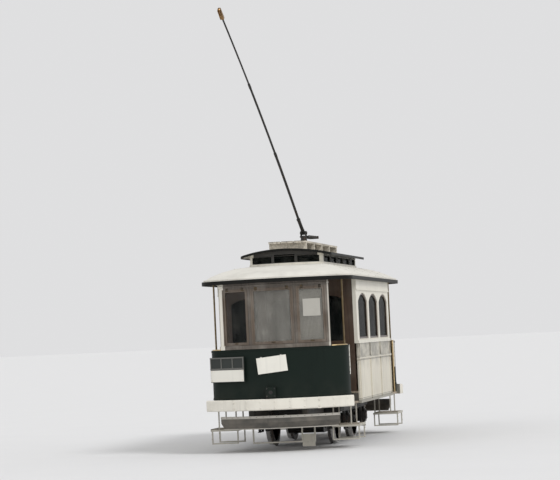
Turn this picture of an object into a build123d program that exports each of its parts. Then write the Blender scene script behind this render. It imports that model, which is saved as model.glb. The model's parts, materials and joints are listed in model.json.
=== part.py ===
from build123d import *
import math
import os

# Four-wheel, double-ended electric tram with a closed saloon and an open platform at each end.
# Frame: millimetres, +Z up, Y along the tram with the front at -Y, X across it. The origin lies
# midway between the two axles and the two rails, at the lowest point of the wheel flanges.

# Wheelsets
GAUGE = 1000.0
WHEELBASE = 1800.0
TREAD_DIAMETER = 760.0
FLANGE_DEPTH = 20.0
FLANGE_THICKNESS = 28.0
FLANGE_TIP = 16.0
TREAD_WIDTH = 88.0
TREAD_TAPER = 4.0
RIM_THICKNESS = 70.0
SPOKE_COUNT = 8
SPOKE_WIDTH = 52.0
SPOKE_THICKNESS = 36.0
SPOKE_LAP = 12.0
HUB_DIAMETER = 210.0
HUB_LENGTH = 140.0
AXLE_DIAMETER = 120.0
JOURNAL_DIAMETER = 90.0
JOURNAL_CLEARANCE = 0.06
JOURNAL_END_GAP = 25.0
AXLE_SHOULDER_GAP = 8.0

# Truck
FRAME_WHEEL_GAP = 147.0
FRAME_PLATE = 36.0
AXLE_PAD_HEIGHT = 40.0
FRAME_BAR_DEPTH = 90.0
FRAME_END_RISE = 30.0
FRAME_FLANGE = 20.0
FRAME_FLANGE_THICKNESS = 14.0
AXLE_BOX_WIDTH = 190.0
AXLE_BOX_HEIGHT = 220.0
AXLE_BOX_DEPTH = 140.0
AXLE_BOX_LIP = 22.0
AXLE_BOX_LIP_GAP = 3.0
AXLE_BOX_LIP_REACH = 26.0
AXLE_BOX_LIP_HEIGHT = 140.0
AXLE_BOX_CHAMFER = 26.0
AXLE_BOX_END = 18.0
LID_WIDTH = 140.0
LID_HEIGHT = 150.0
LID_CHAMFER = 40.0
LID_THICKNESS = 16.0
HORN_WIDTH = 72.0
HORN_CLEARANCE = 2.0
HORN_DROP = 150.0
HORN_HAUNCH = 60.0
TRANSOM_CENTRE_Y = 130.0
TRANSOM_WIDTH = 90.0
TRANSOM_DEPTH = 80.0
MOTOR_WIDTH = 620.0
MOTOR_LENGTH = 500.0
MOTOR_HEIGHT = 430.0
MOTOR_EDGE_RADIUS = 90.0
MOTOR_TRANSOM_GAP = 40.0
MOTOR_ARM_CENTRE_X = 250.0
MOTOR_ARM_WIDTH = 70.0
MOTOR_ARM_HEIGHT = 140.0
MOTOR_ARM_LAP = 60.0
MOTOR_NOSE_WIDTH = 220.0
MOTOR_NOSE_LENGTH = 80.0
MOTOR_NOSE_DROP = 20.0
MOTOR_BEARING_DIAMETER = 200.0
LEAF_COUNT = 4
LEAF_THICKNESS = 10.0
LEAF_WIDTH = 70.0
LEAF_SPAN = 640.0
LEAF_SHORTENING = 130.0
LEAF_TOP_GAP = 5.0
BUCKLE_WALL = 10.0
BUCKLE_LENGTH = 80.0
BUCKLE_LAP = 12.0
COIL_DIAMETER = 130.0
COIL_WIRE = 22.0
COIL_TURNS = 3
AXLE_PAD = 100.0
SHOE_GAP = 8.0
SHOE_THICKNESS = 45.0
SHOE_WIDTH = 80.0
SHOE_HALF_ANGLE = 17.0
BRAKE_BEAM = 46.0
BRAKE_BEAM_LAP = 5.0
BRAKE_TRANSOM_GAP = 36.0
HANGER_BAR = 26.0
HANGER_DROP = 10.0
HANGER_LAP = 10.0

# Underframe and floors
BODY_LENGTH = 3800.0
PLATFORM_LENGTH = 1400.0
BODY_HALF_WIDTH = 1165.0
WAIST_PANEL = 30.0
SILL_DEPTH = 170.0
SILL_WIDTH = 90.0
WHEEL_CLEARANCE = 70.0
SALOON_FLOOR = 30.0
SPRING_HEIGHT = 100.0
CROSS_BEARER_WIDTH = 90.0
COIL_BEARER_Y = 350.0
PLATFORM_DROP = 160.0
PLATFORM_FLOOR = 35.0
PLATFORM_BEARER_X = 440.0
PLATFORM_BEARER_WIDTH = 80.0
PLATFORM_BEARER_DEPTH = 145.0
PLATFORM_BEARER_GAP = 40.0
PLATFORM_BEARER_SETBACK = 150.0

# Saloon sides
BELT_HEIGHT = 790.0
BELT_RAIL = 56.0
BELT_LIP = 8.0
WINDOW_COUNT = 3
WINDOW_PILLAR = 140.0
CORNER_PILLAR = 170.0
WINDOW_RISE = 150.0
WINDOW_HEIGHT = 799.0
WINDOW_WALL = 60.0
WINDOW_HEADER = 30.0
LETTERBOARD_HEIGHT = 195.0
LETTERBOARD = 70.0
LETTERBOARD_BEAD = 8.0
LETTERBOARD_BEAD_HEIGHT = 18.0
MOULDING = 15.0
MOULDING_HEIGHT = 34.0
MOULDING_LAP = 5.0
WAIST_MOULDING_DROP = 260.0
SASH_STILE = 46.0
SASH_THICKNESS = 34.0
GLASS = 6.0
GLASS_SEAT = 9.0

# Bulkheads, sliding doors and benches
BULKHEAD = 45.0
DOORWAY_WIDTH = 700.0
DOORWAY_HEADER = 80.0
BULKHEAD_STILE = 147.5
BULKHEAD_LIGHT_DROP = 45.0
BULKHEAD_LIGHT_RISE = 80.0
DOOR_LAP = 30.0
DOOR_THICKNESS = 32.0
DOOR_GAP = 6.0
DOOR_LIGHT_MARGIN = 100.0
DOOR_LIGHT_DROP = 20.0
DOOR_LIGHT_RISE = 60.0
DOOR_HEAD_LAP = 6.0
DOOR_STILE = 110.0
DOOR_FIELD = 8.0
DOOR_FIELD_FOOT = 120.0
DOOR_FIELD_HEAD = 70.0
DOOR_RAIL = 12.0
DOOR_RAIL_HEIGHT = 30.0
DOOR_RAIL_RISE = 12.0
DOOR_RAIL_OVERRUN = 60.0
DOOR_RAIL_SHORTFALL = 20.0
DOOR_STUD = 40.0
DOOR_STUD_HEIGHT = 18.0
DOOR_HOOK_WIDTH = 44.0
DOOR_HOOK = 14.0
DOOR_HOOK_LIP = 4.0
DOOR_STRAP_GAP = 5.0
DOOR_STRAP_LENGTH = 70.0
RUNNING_GAP = 0.3
BENCH_END_GAP = 140.0
BENCH_HEIGHT = 430.0
BENCH_DEPTH = 420.0
BENCH_SLATS = 4
BENCH_SLAT = 22.0
BENCH_SLAT_GAP = 12.0
BENCH_BACK_SLATS = 3
BENCH_BRACKETS = 4
BENCH_BRACKET = 30.0
BENCH_BACK_GAP = 40.0
BENCH_BACK_RISE = 60.0
BENCH_BACK_DROP = 20.0
BRACKET_DROP = 40.0
BRACKET_BACK = 30.0
BRACKET_NOSE = 60.0
BRACKET_LAP = 4.0
BRACKET_FOOT = 110.0
BRACKET_BELLY_X = 190.0
BRACKET_BELLY_RISE = 210.0

# Roof
CANTRAIL = 30.0
CANTRAIL_WIDTH = 190.0
EAVE_OVERHANG_X = 115.0
EAVE_OVERHANG_Y = 60.0
EAVE_CORNER_EXTRA = 70.0
ROOF_SKIN = 24.0
LOWER_ROOF_RISE = 245.0
CLERESTORY_HALF_WIDTH = 620.0
CLERESTORY_LEAD = 80.0
CLERESTORY_BOW_RADIUS = 1150.0
CLERESTORY_CORNER = 60.0
CLERESTORY_INNER_CORNER = 12.0
CLERESTORY_WALL = 40.0
CLERESTORY_SILL_LIP = 14.0
CLERESTORY_SILL_HEIGHT = 26.0
CLERESTORY_SILL_LAP = 10.0
CLERESTORY_SEAT = 20.0
CLERESTORY_LIGHT_SILL = 37.0
CLERESTORY_LIGHT_HEIGHT = 110.0
CLERESTORY_LIGHT_HEADER = 8.0
CLERESTORY_LIGHTS = 5
CLERESTORY_PILLAR = 80.0
CLERESTORY_SIDE_MARGIN = 200.0
CLERESTORY_MULLION = 45.0
CLERESTORY_END_MARGIN = 50.0
CLERESTORY_CROWN_LIGHT_RISE = 30.0
CLERESTORY_CUT = 50.0
CLERESTORY_BOW_DEPTH = 300.0
CLERESTORY_ROOF_RISE = 90.0
CLERESTORY_ROOF_OVERHANG = 150.0
ROOF_WALK_BEARER_HEIGHT = 106.0
ROOF_WALK_SETBACK = 250.0
ROOF_WALK_BEARER_INSET = 100.0
ROOF_PLANKS = 3
ROOF_PLANK_WIDTH = 200.0
ROOF_PLANK = 30.0
ROOF_PLANK_GAP = 18.0
ROOF_WALK_BEARERS = 5
ROOF_WALK_BEARER_WIDTH = 70.0

# Platform ends
DASH_BOW_RADIUS = 1840.0
DASH_TUCK = 35.0
DASH_CORNER = 350.0
DASH_SHEET = 10.0
DASH_HEIGHT = 940.0
DASH_RETURN = 650.0
DASH_PIPE_DIAMETER = 32.0
DASH_PIPE_BEND = 70.0
DASH_PIPE_SIDES = 12
DASH_PIPE_GAP = 1.0
DASH_PIPE_END_GAP = 10.0
BUMPER_DROP = 15.0
BUMPER_HEIGHT = 180.0
BUMPER_DEPTH = 75.0
BUMPER_OVERHANG = 90.0
BUMPER_EDGE_RADIUS = 14.0
APRON_GAP = 90.0
APRON_UPPER = 110.0
APRON_LOWER = 98.0
APRON_SETBACK = 40.0
APRON_TUCK = 80.0
APRON_SHEET = 10.0
APRON_BEND = 4.0
APRON_LUG_INSET = 10.0
APRON_LUG_HEIGHT = 34.0
APRON_HALF_ANGLE = 33.0
WINDSCREEN_SETBACK = 55.0
WINDSCREEN_CENTRE_HALF = 375.0
WINDSCREEN_INSET = 230.0
WINDSCREEN_CORNER_GAP = 16.8673
WINDSCREEN_WALL = 50.0
WINDSCREEN_RAIL = 60.0
WINDSCREEN_RAIL_LIP = 12.0
WINDSCREEN_RAIL_DEPTH = 90.0
WINDSCREEN_SILL_GAP = 5.0
WINDSCREEN_HEADER = 115.0
MULLION_HALF = 30.0
CORNER_POST = 55.0
STANCHION_INSET = 65.0
STANCHION_SETBACK = 600.0
STANCHION_DIAMETER = 30.0
STEP_TUCK = 350.0
STEP_OVERHANG = 70.0
STEP_DROP = 360.0
STEP_TREAD = 30.0
STEP_LOOP_DEPTH = 240.0
STEP_IRON = 20.0
STEP_SETBACK = 680.0
STEP_BODY_GAP = 80.0
STEP_HANGER_INSET = 30.0
STEP_LAP = 5.0
GATE_SETBACK = 600.0
GATE_AXIS_DROP = 60.0
GATE_BAR = 24.0
GATE_OVERHANG = 70.0
GATE_UPRIGHT_X = 300.0
GATE_LENGTH = 370.0
GATE_PIN_DIAMETER = 24.0
GATE_LUG = 30.0
GATE_LUG_WIDTH = 50.0
GATE_LUG_RISE = 60.0
GATE_CHEEK = 10.0
GATE_CHEEK_DROP = 70.0
GATE_CHEEK_RISE = 130.0
LAMP_BRACKET_X = -60.0
LAMP_BRACKET_GAP = 20.0
LAMP_BRACKET_WIDTH = 160.0
LAMP_BRACKET_HEIGHT = 170.0
LAMP_BRACKET_DEPTH = 80.0
LAMP_BRACKET_PLATE = 15.0
LAMP_BRACKET_SEAT = 4.0
LAMP_SOCKET_DIAMETER = 24.0
CONTROLLER_X = -340.0
CONTROLLER_SETBACK = 280.0
CONTROLLER_WIDTH = 280.0
CONTROLLER_DEPTH = 240.0
CONTROLLER_HEIGHT = 900.0
CONTROLLER_CORNER = 60.0
CONTROLLER_CAP = 26.0
CONTROLLER_CAP_LIP = 12.0
CONTROLLER_STEM_DIAMETER = 36.0
CONTROLLER_STEM_HEIGHT = 70.0
HANDLE_DIAMETER = 24.0
HANDLE_HEIGHT = 62.0
HANDLE_TAIL = 30.0
HANDLE_REACH_X = 150.0
HANDLE_REACH_Y = 30.0
KNOB_DIAMETER = 32.0
KNOB_X = 145.0
KNOB_Y = 29.0
KNOB_FOOT = 55.0
KNOB_TOP = 130.0
BRAKE_STAFF_X = 340.0
BRAKE_STAFF_SETBACK = 260.0
BRAKE_STAFF_DIAMETER = 32.0
BRAKE_STAFF_HEIGHT = 1000.0
BRAKE_CRANK = 240.0
BRAKE_CRANK_DIAMETER = 26.0
BRAKE_CRANK_DROP = 14.0
BRAKE_FOOT = 120.0
BRAKE_FOOT_HEIGHT = 24.0
RATCHET_DIAMETER = 96.0
RATCHET_HEIGHT = 36.0
GRIP_DIAMETER = 34.0
GRIP_LENGTH = 130.0
GRIP_DROP = 20.0

# Trolley
TROLLEY_BASE_DIAMETER = 360.0
TROLLEY_BASE_PLATE = 25.0
TROLLEY_POST_DIAMETER = 60.0
TROLLEY_POST_HEIGHT = 130.0
TROLLEY_AXIS_RISE = 70.0
TROLLEY_FIT = 0.05
TROLLEY_SWIVEL = 6.6
TROLLEY_ELEVATION = 40.0
TROLLEY_PIN_DIAMETER = 24.0
TROLLEY_FOOT_WIDTH = 66.0
TROLLEY_CHEEK = 16.0
TROLLEY_CHEEK_GAP = 2.0
TROLLEY_CHEEK_LENGTH = 72.0
TROLLEY_CHEEK_RISE = 34.0
TROLLEY_HOUSING_WALL = 25.0
TROLLEY_BRIDGE = 20.0
TROLLEY_BRIDGE_LENGTH = 80.0
YOKE_START = 30.0
YOKE_REACH = 34.0
YOKE_LAP = 5.0
YOKE_TAIL = 24.0
YOKE_TAIL_EXTRA = 12.0
YOKE_TIE = 20.0
POLE_PIVOT_DIAMETER = 64.0
SOCKET_START = 20.0
SOCKET_END = 360.0
SOCKET_WALL = 8.0
POLE_LENGTH = 5200.0
POLE_FOOT_DIAMETER = 44.0
POLE_TIP_DIAMETER = 28.0
POLE_BOW = 70.0
POLE_START = 300.0
POLE_STEPS = 3
SPRING_START = 110.0
SPRING_LENGTH = 520.0
SPRING_DIAMETER = 56.0
SPRING_SPACING = 95.0
CONTACT_WHEEL_DIAMETER = 110.0
CONTACT_WHEEL_WIDTH = 34.0
CONTACT_PIN_DIAMETER = 16.0
HARP_LENGTH = 110.0
HARP_CHEEK = 8.0
HARP_CHEEK_GAP = 6.0
HARP_CHEEK_HEIGHT = 34.0
HARP_CHEEK_RUN = 70.0
HARP_BASE_HEIGHT = 44.0
HARP_BASE_LAP = 60.0
HARP_BASE_LEAD = 34.0
WHEEL_RIM_BEVEL = 4.0
WHEEL_RIM_WIDTH = 6.0
WHEEL_GROOVE = 16.0

# Lower roof between its eave and the clerestory: rise above the eave, then how much less than
# the eave's its half width, front, bow radius and corner radius are
ROOF_LEVELS = [
    (85.0, 120.0, 170.0, 140.0, 50.0),
    (160.0, 290.0, 450.0, 340.0, 130.0),
    (215.0, 460.0, 860.0, 560.0, 230.0),
]

# How far a cutting solid runs past the face that it cuts
CUT = 1.0

# Places worked out from the sizes above
AXLE_Z = TREAD_DIAMETER / 2 + FLANGE_DEPTH
AXLE_Y = WHEELBASE / 2
FRAME_CENTRE_X = GAUGE / 2 + TREAD_WIDTH + FRAME_WHEEL_GAP
FRAME_TOP_Z = AXLE_Z + AXLE_BOX_HEIGHT / 2 + AXLE_PAD_HEIGHT + FRAME_BAR_DEPTH
HORN_FOOT_Z = AXLE_Z - HORN_DROP
SHOE_INNER = TREAD_DIAMETER / 2 + FLANGE_DEPTH + SHOE_GAP
BRAKE_BEAM_Y = AXLE_Y + SHOE_INNER + SHOE_THICKNESS - BRAKE_BEAM_LAP
FRAME_HALF_LENGTH = BRAKE_BEAM_Y + BRAKE_BEAM + BRAKE_TRANSOM_GAP + TRANSOM_WIDTH
TRANSOM_TOP_Z = FRAME_TOP_Z - FRAME_FLANGE_THICKNESS
LEAF_BEARER_Y = FRAME_HALF_LENGTH - LEAF_SPAN / 2
BODY_END = BODY_LENGTH / 2
HALF_LENGTH = BODY_END + PLATFORM_LENGTH
BODY_INNER = BODY_HALF_WIDTH - WAIST_PANEL
SALOON_FLOOR_Z = 2 * AXLE_Z + WHEEL_CLEARANCE + SALOON_FLOOR
FLOOR_UNDER_Z = SALOON_FLOOR_Z - SALOON_FLOOR
CROSS_BEARER_BOTTOM_Z = FRAME_TOP_Z + SPRING_HEIGHT
SILL_BOTTOM_Z = FLOOR_UNDER_Z - SILL_DEPTH
PLATFORM_FLOOR_Z = SALOON_FLOOR_Z - PLATFORM_DROP
PLATFORM_UNDER_Z = PLATFORM_FLOOR_Z - PLATFORM_FLOOR
PLATFORM_BEARER_INNER_Y = FRAME_HALF_LENGTH + PLATFORM_BEARER_GAP
PLATFORM_BEARER_OUTER_Y = HALF_LENGTH - PLATFORM_BEARER_SETBACK
BELT_Z = SALOON_FLOOR_Z + BELT_HEIGHT
WAIST_MOULDING_Z = BELT_Z - WAIST_MOULDING_DROP
WINDOW_SILL_Z = BELT_Z + BELT_RAIL
WINDOW_HEAD_Z = WINDOW_SILL_Z + WINDOW_HEIGHT
LETTERBOARD_Z = WINDOW_HEAD_Z + WINDOW_HEADER
CANTRAIL_Z = LETTERBOARD_Z + LETTERBOARD_HEIGHT
EAVE_Z = CANTRAIL_Z + CANTRAIL
WINDOW_PILLARS = 2 * CORNER_PILLAR + (WINDOW_COUNT - 1) * WINDOW_PILLAR
WINDOW_WIDTH = (BODY_LENGTH - WINDOW_PILLARS) / WINDOW_COUNT
WINDOW_PITCH = WINDOW_WIDTH + WINDOW_PILLAR
WALL_INNER = BODY_HALF_WIDTH - WINDOW_WALL
DOORWAY_HEAD_Z = CANTRAIL_Z - DOORWAY_HEADER
BULKHEAD_LIGHT_HEAD_Z = WINDOW_HEAD_Z - BULKHEAD_LIGHT_DROP
BULKHEAD_LIGHT_WIDTH = WALL_INNER - DOORWAY_WIDTH / 2 - 2 * BULKHEAD_STILE
DOOR_LIGHT_HEAD_Z = BULKHEAD_LIGHT_HEAD_Z - DOOR_LIGHT_DROP
DOOR_LIGHT_WIDTH = DOORWAY_WIDTH - 2 * DOOR_LIGHT_MARGIN
DOOR_TRAVEL = DOORWAY_WIDTH
DOOR_RAIL_Z = DOORWAY_HEAD_Z + DOOR_RAIL_RISE
BENCH_LENGTH = BODY_LENGTH - 2 * BENCH_END_GAP
CLERESTORY_SILL_Z = EAVE_Z + LOWER_ROOF_RISE
CLERESTORY_LIGHT_BOTTOM_Z = CLERESTORY_SILL_Z + CLERESTORY_LIGHT_SILL
CLERESTORY_LIGHT_TOP_Z = CLERESTORY_LIGHT_BOTTOM_Z + CLERESTORY_LIGHT_HEIGHT
CLERESTORY_ROOF_EAVE_Z = CLERESTORY_LIGHT_TOP_Z + CLERESTORY_LIGHT_HEADER
CLERESTORY_FRONT = BODY_END + CLERESTORY_LEAD
CLERESTORY_LIGHT_PITCH = (BODY_LENGTH - 2 * CLERESTORY_SIDE_MARGIN) / CLERESTORY_LIGHTS
CLERESTORY_LIGHT_LENGTH = CLERESTORY_LIGHT_PITCH - CLERESTORY_PILLAR
CLERESTORY_END_SPAN = 2 * (CLERESTORY_HALF_WIDTH - CLERESTORY_END_MARGIN - CLERESTORY_MULLION)
CLERESTORY_END_LIGHT_WIDTH = CLERESTORY_END_SPAN / 3
CLERESTORY_END_LIGHT_PITCH = CLERESTORY_END_LIGHT_WIDTH + CLERESTORY_MULLION
ROOF_ARCH_SPAN = CLERESTORY_HALF_WIDTH + CLERESTORY_ROOF_OVERHANG
ROOF_ARCH_RADIUS = (ROOF_ARCH_SPAN**2 + CLERESTORY_ROOF_RISE**2) / (2 * CLERESTORY_ROOF_RISE)
ROOF_ARCH_CENTRE_Z = CLERESTORY_ROOF_EAVE_Z + CLERESTORY_ROOF_RISE - ROOF_ARCH_RADIUS
CLERESTORY_CROWN_Z = CLERESTORY_ROOF_EAVE_Z + CLERESTORY_ROOF_RISE + ROOF_SKIN
ROOF_WALK_Z = CLERESTORY_CROWN_Z + ROOF_WALK_BEARER_HEIGHT + ROOF_PLANK
ROOF_WALK_HALF_LENGTH = BODY_END - ROOF_WALK_SETBACK
DASH_HALF_WIDTH = BODY_HALF_WIDTH - DASH_TUCK
DASH_TOP_Z = PLATFORM_FLOOR_Z + DASH_HEIGHT
DASH_TAIL_Y = HALF_LENGTH - DASH_RETURN
BOW_CENTRE_Y = -HALF_LENGTH + DASH_BOW_RADIUS
BUMPER_BOTTOM_Z = PLATFORM_UNDER_Z - BUMPER_DROP
LAMP_BRACKET_Z = BUMPER_BOTTOM_Z + BUMPER_HEIGHT + LAMP_BRACKET_GAP
APRON_TOP_Z = BUMPER_BOTTOM_Z - APRON_GAP
APRON_KNEE_Z = APRON_TOP_Z - APRON_UPPER
APRON_FOOT_Z = APRON_KNEE_Z - APRON_LOWER
BUMPER_HALF_WIDTH = DASH_HALF_WIDTH + BUMPER_OVERHANG
WINDSCREEN_SILL_Z = DASH_TOP_Z + WINDSCREEN_RAIL + WINDSCREEN_SILL_GAP
WINDSCREEN_HEAD_Z = CANTRAIL_Z - WINDSCREEN_HEADER
WINDSCREEN_HALF_WIDTH = DASH_HALF_WIDTH - WINDSCREEN_INSET
WINDSCREEN_CORNER_REACH = math.sqrt(DASH_BOW_RADIUS**2 - WINDSCREEN_HALF_WIDTH**2)
WINDSCREEN_CORNER_Y = BOW_CENTRE_Y - WINDSCREEN_CORNER_REACH + WINDSCREEN_CORNER_GAP
STANCHION_X = DASH_HALF_WIDTH - STANCHION_INSET
STANCHION_Y = HALF_LENGTH - STANCHION_SETBACK
STEP_TREAD_Z = PLATFORM_FLOOR_Z - STEP_DROP
STEP_LOOP_Z = STEP_TREAD_Z - STEP_LOOP_DEPTH
STEP_INNER_X = DASH_HALF_WIDTH - STEP_TUCK
STEP_OUTER_X = BODY_HALF_WIDTH + STEP_OVERHANG
STEP_FRONT_Y = HALF_LENGTH - STEP_SETBACK
STEP_BACK_Y = BODY_END + STEP_BODY_GAP
GATE_AXIS_Z = PLATFORM_UNDER_Z - PLATFORM_BEARER_DEPTH - GATE_AXIS_DROP
GATE_FOOT_Z = GATE_AXIS_Z - GATE_LENGTH
GATE_AXIS_Y = HALF_LENGTH - GATE_SETBACK
GATE_HALF_WIDTH = PLATFORM_BEARER_X + GATE_OVERHANG
CONTROLLER_Y = HALF_LENGTH - CONTROLLER_SETBACK
BRAKE_STAFF_Y = HALF_LENGTH - BRAKE_STAFF_SETBACK
EAVE_HALF_WIDTH = DASH_HALF_WIDTH + EAVE_OVERHANG_X
EAVE_FRONT = HALF_LENGTH + EAVE_OVERHANG_Y
EAVE_BOW_RADIUS = DASH_BOW_RADIUS + EAVE_OVERHANG_Y
EAVE_CORNER = DASH_CORNER + EAVE_CORNER_EXTRA
TROLLEY_POST_TOP_Z = ROOF_WALK_Z + TROLLEY_POST_HEIGHT
TROLLEY_AXIS_Z = TROLLEY_POST_TOP_Z + TROLLEY_AXIS_RISE
HOUSING_FOOT_Z = ROOF_WALK_Z + TROLLEY_BASE_PLATE + RUNNING_GAP
HEAD_FLOOR_Z = TROLLEY_POST_TOP_Z + RUNNING_GAP
HEAD_TOP_Z = HEAD_FLOOR_Z + TROLLEY_BRIDGE


def block(x, y, z):
    """Box between the (low, high) pairs x, y and z."""
    centre = [(low + high) / 2 for low, high in (x, y, z)]
    size = [high - low for low, high in (x, y, z)]
    return Pos(*centre) * Box(*size)


def rod(start, end, diameter):
    """Round bar between two points."""
    run = Vector(*end) - Vector(*start)
    return extrude(Plane(origin=start, z_dir=run) * Circle(diameter / 2), run.length)


def along_x(face, low, high):
    """Extrude a face drawn as (y, z) from x = low to x = high."""
    return extrude(Plane.YZ.offset(low) * face, high - low)


def along_y(face, low, high):
    """Extrude a face drawn as (x, z) from y = low to y = high."""
    return extrude(Plane.XZ.offset(-high) * face, high - low)


def along_z(face, low, high):
    """Extrude a face drawn as (x, y) from z = low to z = high."""
    return extrude(Pos(0, 0, low) * face, high - low)


def turned(shape):
    """The same piece at the other end, turned half round."""
    return Rot(0, 0, 180) * shape


def other_side(shape):
    """The mirror image across the tram's middle plane."""
    return mirror(shape, about=Plane.YZ)


def both_ends(shape):
    """A piece of the front end and its twin at the rear."""
    return [shape, turned(shape)]


def solids_of(*shapes):
    """All solids of the shapes in one flat list."""
    return [solid for shape in shapes for solid in shape.solids()]


def end_arcs(front, radius, half_width, corner):
    """Corner, bow and corner of a bowed end seen from above, as (start, middle, end) points."""
    centre_y = -front + radius
    corner_x = half_width - corner
    corner_y = centre_y - math.sqrt((radius - corner) ** 2 - corner_x**2)
    lean = math.atan2(corner_x, centre_y - corner_y)
    middle = (lean + math.pi / 2) / 2
    side = (half_width, corner_y)
    bend = (corner_x + corner * math.sin(middle), corner_y - corner * math.cos(middle))
    joint = (radius * math.sin(lean), centre_y - radius * math.cos(lean))

    def left(point):
        return (-point[0], point[1])

    return [
        (left(side), left(bend), left(joint)),
        (left(joint), (0, -front), joint),
        (joint, bend, side),
    ]


def dash_arcs(inset):
    """The dash line moved inwards by inset."""
    return end_arcs(
        HALF_LENGTH - inset,
        DASH_BOW_RADIUS - inset,
        DASH_HALF_WIDTH - inset,
        DASH_CORNER - inset,
    )


def open_edges(arcs, tail):
    """Edges of an open bowed end whose straight sides run back to y = tail."""
    first = arcs[0][0]
    last = arcs[-1][2]
    edges = [Line((first[0], tail), first)]
    edges += [ThreePointArc(*arc) for arc in arcs]
    edges.append(Line(last, (last[0], tail)))
    return edges


def dash_band(outer, inner, tail, low, high):
    """Upright band that follows the dash line between two insets."""
    outer_edges = open_edges(dash_arcs(outer), tail)
    inner_edges = open_edges(dash_arcs(inner), tail)
    ends = []
    for side in (-1, 1):
        ends.append(
            Line((side * (DASH_HALF_WIDTH - outer), tail), (side * (DASH_HALF_WIDTH - inner), tail))
        )
    return along_z(make_face(outer_edges + inner_edges + ends), low, high)


def ring_face(front, radius, half_width, corner):
    """Face of a plan with a bowed end at the front and the rear."""
    arcs = end_arcs(front, radius, half_width, corner)
    twin = [tuple((-x, -y) for x, y in arc) for arc in arcs]
    edges = [ThreePointArc(*arc) for arc in arcs]
    edges.append(Line(arcs[-1][2], twin[0][0]))
    edges += [ThreePointArc(*arc) for arc in twin]
    edges.append(Line(twin[-1][2], arcs[0][0]))
    return make_face(edges)


def bow_profile(points, half_angle):
    """Turn a profile of (inset, z) points about the bow's centre through twice half_angle."""
    outline = [(DASH_BOW_RADIUS - inset, z) for inset, z in points]
    face = make_face(Polyline(outline + outline[:1]))
    axis = Axis((0, BOW_CENTRE_Y, 0), (0, 0, 1))
    upright = Plane(origin=(0, BOW_CENTRE_Y, 0), x_dir=(0, -1, 0), z_dir=(-1, 0, 0))
    swept = revolve(upright * face, axis, 2 * half_angle)
    return swept.rotate(axis, -half_angle)


def arched_face(width, low, crown, rise, inset=0.0):
    """Window outline with a low arched head, moved inwards by inset."""
    half = width / 2
    radius = (half**2 + rise**2) / (2 * rise)
    centre = crown - radius
    spring = centre + math.sqrt((radius - inset) ** 2 - (half - inset) ** 2)
    left = (-half + inset, spring)
    right = (half - inset, spring)
    foot = low + inset
    edges = [
        Line(left, (left[0], foot)),
        Line((left[0], foot), (right[0], foot)),
        Line((right[0], foot), right),
        ThreePointArc(right, (0, crown - inset), left),
    ]
    return make_face(edges)


def wheel():
    """Spoked wheel with its flange, about the X axis, flange towards -X, gauge face at x = 0."""
    tread = TREAD_DIAMETER / 2
    flange = tread + FLANGE_DEPTH
    rim = tread - RIM_THICKNESS
    hub = HUB_DIAMETER / 2
    web = TREAD_WIDTH / 2 - FLANGE_THICKNESS / 2
    profile = Polyline(
        (-FLANGE_THICKNESS, rim),
        (-FLANGE_THICKNESS, flange),
        (FLANGE_TIP - FLANGE_THICKNESS, flange),
        (0, tread + TREAD_TAPER),
        (TREAD_WIDTH, tread - TREAD_TAPER),
        (TREAD_WIDTH, rim),
        (-FLANGE_THICKNESS, rim),
    )
    rim_ring = revolve(make_face(profile), Axis.X)
    hub_low = web - HUB_LENGTH / 2
    hub_high = web + HUB_LENGTH / 2
    hub_ring = Pos((hub_low + hub_high) / 2, 0, 0) * Rot(0, 90, 0) * Cylinder(hub, HUB_LENGTH)
    spokes = []
    for index in range(SPOKE_COUNT):
        spoke = block(
            (web - SPOKE_THICKNESS / 2, web + SPOKE_THICKNESS / 2),
            (-SPOKE_WIDTH / 2, SPOKE_WIDTH / 2),
            (hub - SPOKE_LAP, rim + SPOKE_LAP),
        )
        spokes.append(Rot(360.0 * index / SPOKE_COUNT, 0, 0) * spoke)
    solid = rim_ring + hub_ring + spokes
    bore = Rot(0, 90, 0) * Cylinder(AXLE_DIAMETER / 2, 4 * HUB_LENGTH)
    return solid - bore


def wheel_pair(y):
    """The two wheels of an axle at y, flanges inside."""
    right = Pos(GAUGE / 2, y, AXLE_Z) * wheel()
    return [right, other_side(right)]


def axle(y):
    """Turned axle with a journal at each end."""
    journal_start = FRAME_CENTRE_X - AXLE_BOX_DEPTH / 2
    journal_end = FRAME_CENTRE_X + AXLE_BOX_DEPTH / 2 - JOURNAL_END_GAP
    body = Rot(0, 90, 0) * Cylinder(AXLE_DIAMETER / 2, 2 * (journal_start - AXLE_SHOULDER_GAP))
    journal = Rot(0, 90, 0) * Cylinder(JOURNAL_DIAMETER / 2, 2 * journal_end)
    return Pos(0, y, AXLE_Z) * (body + journal)


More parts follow.
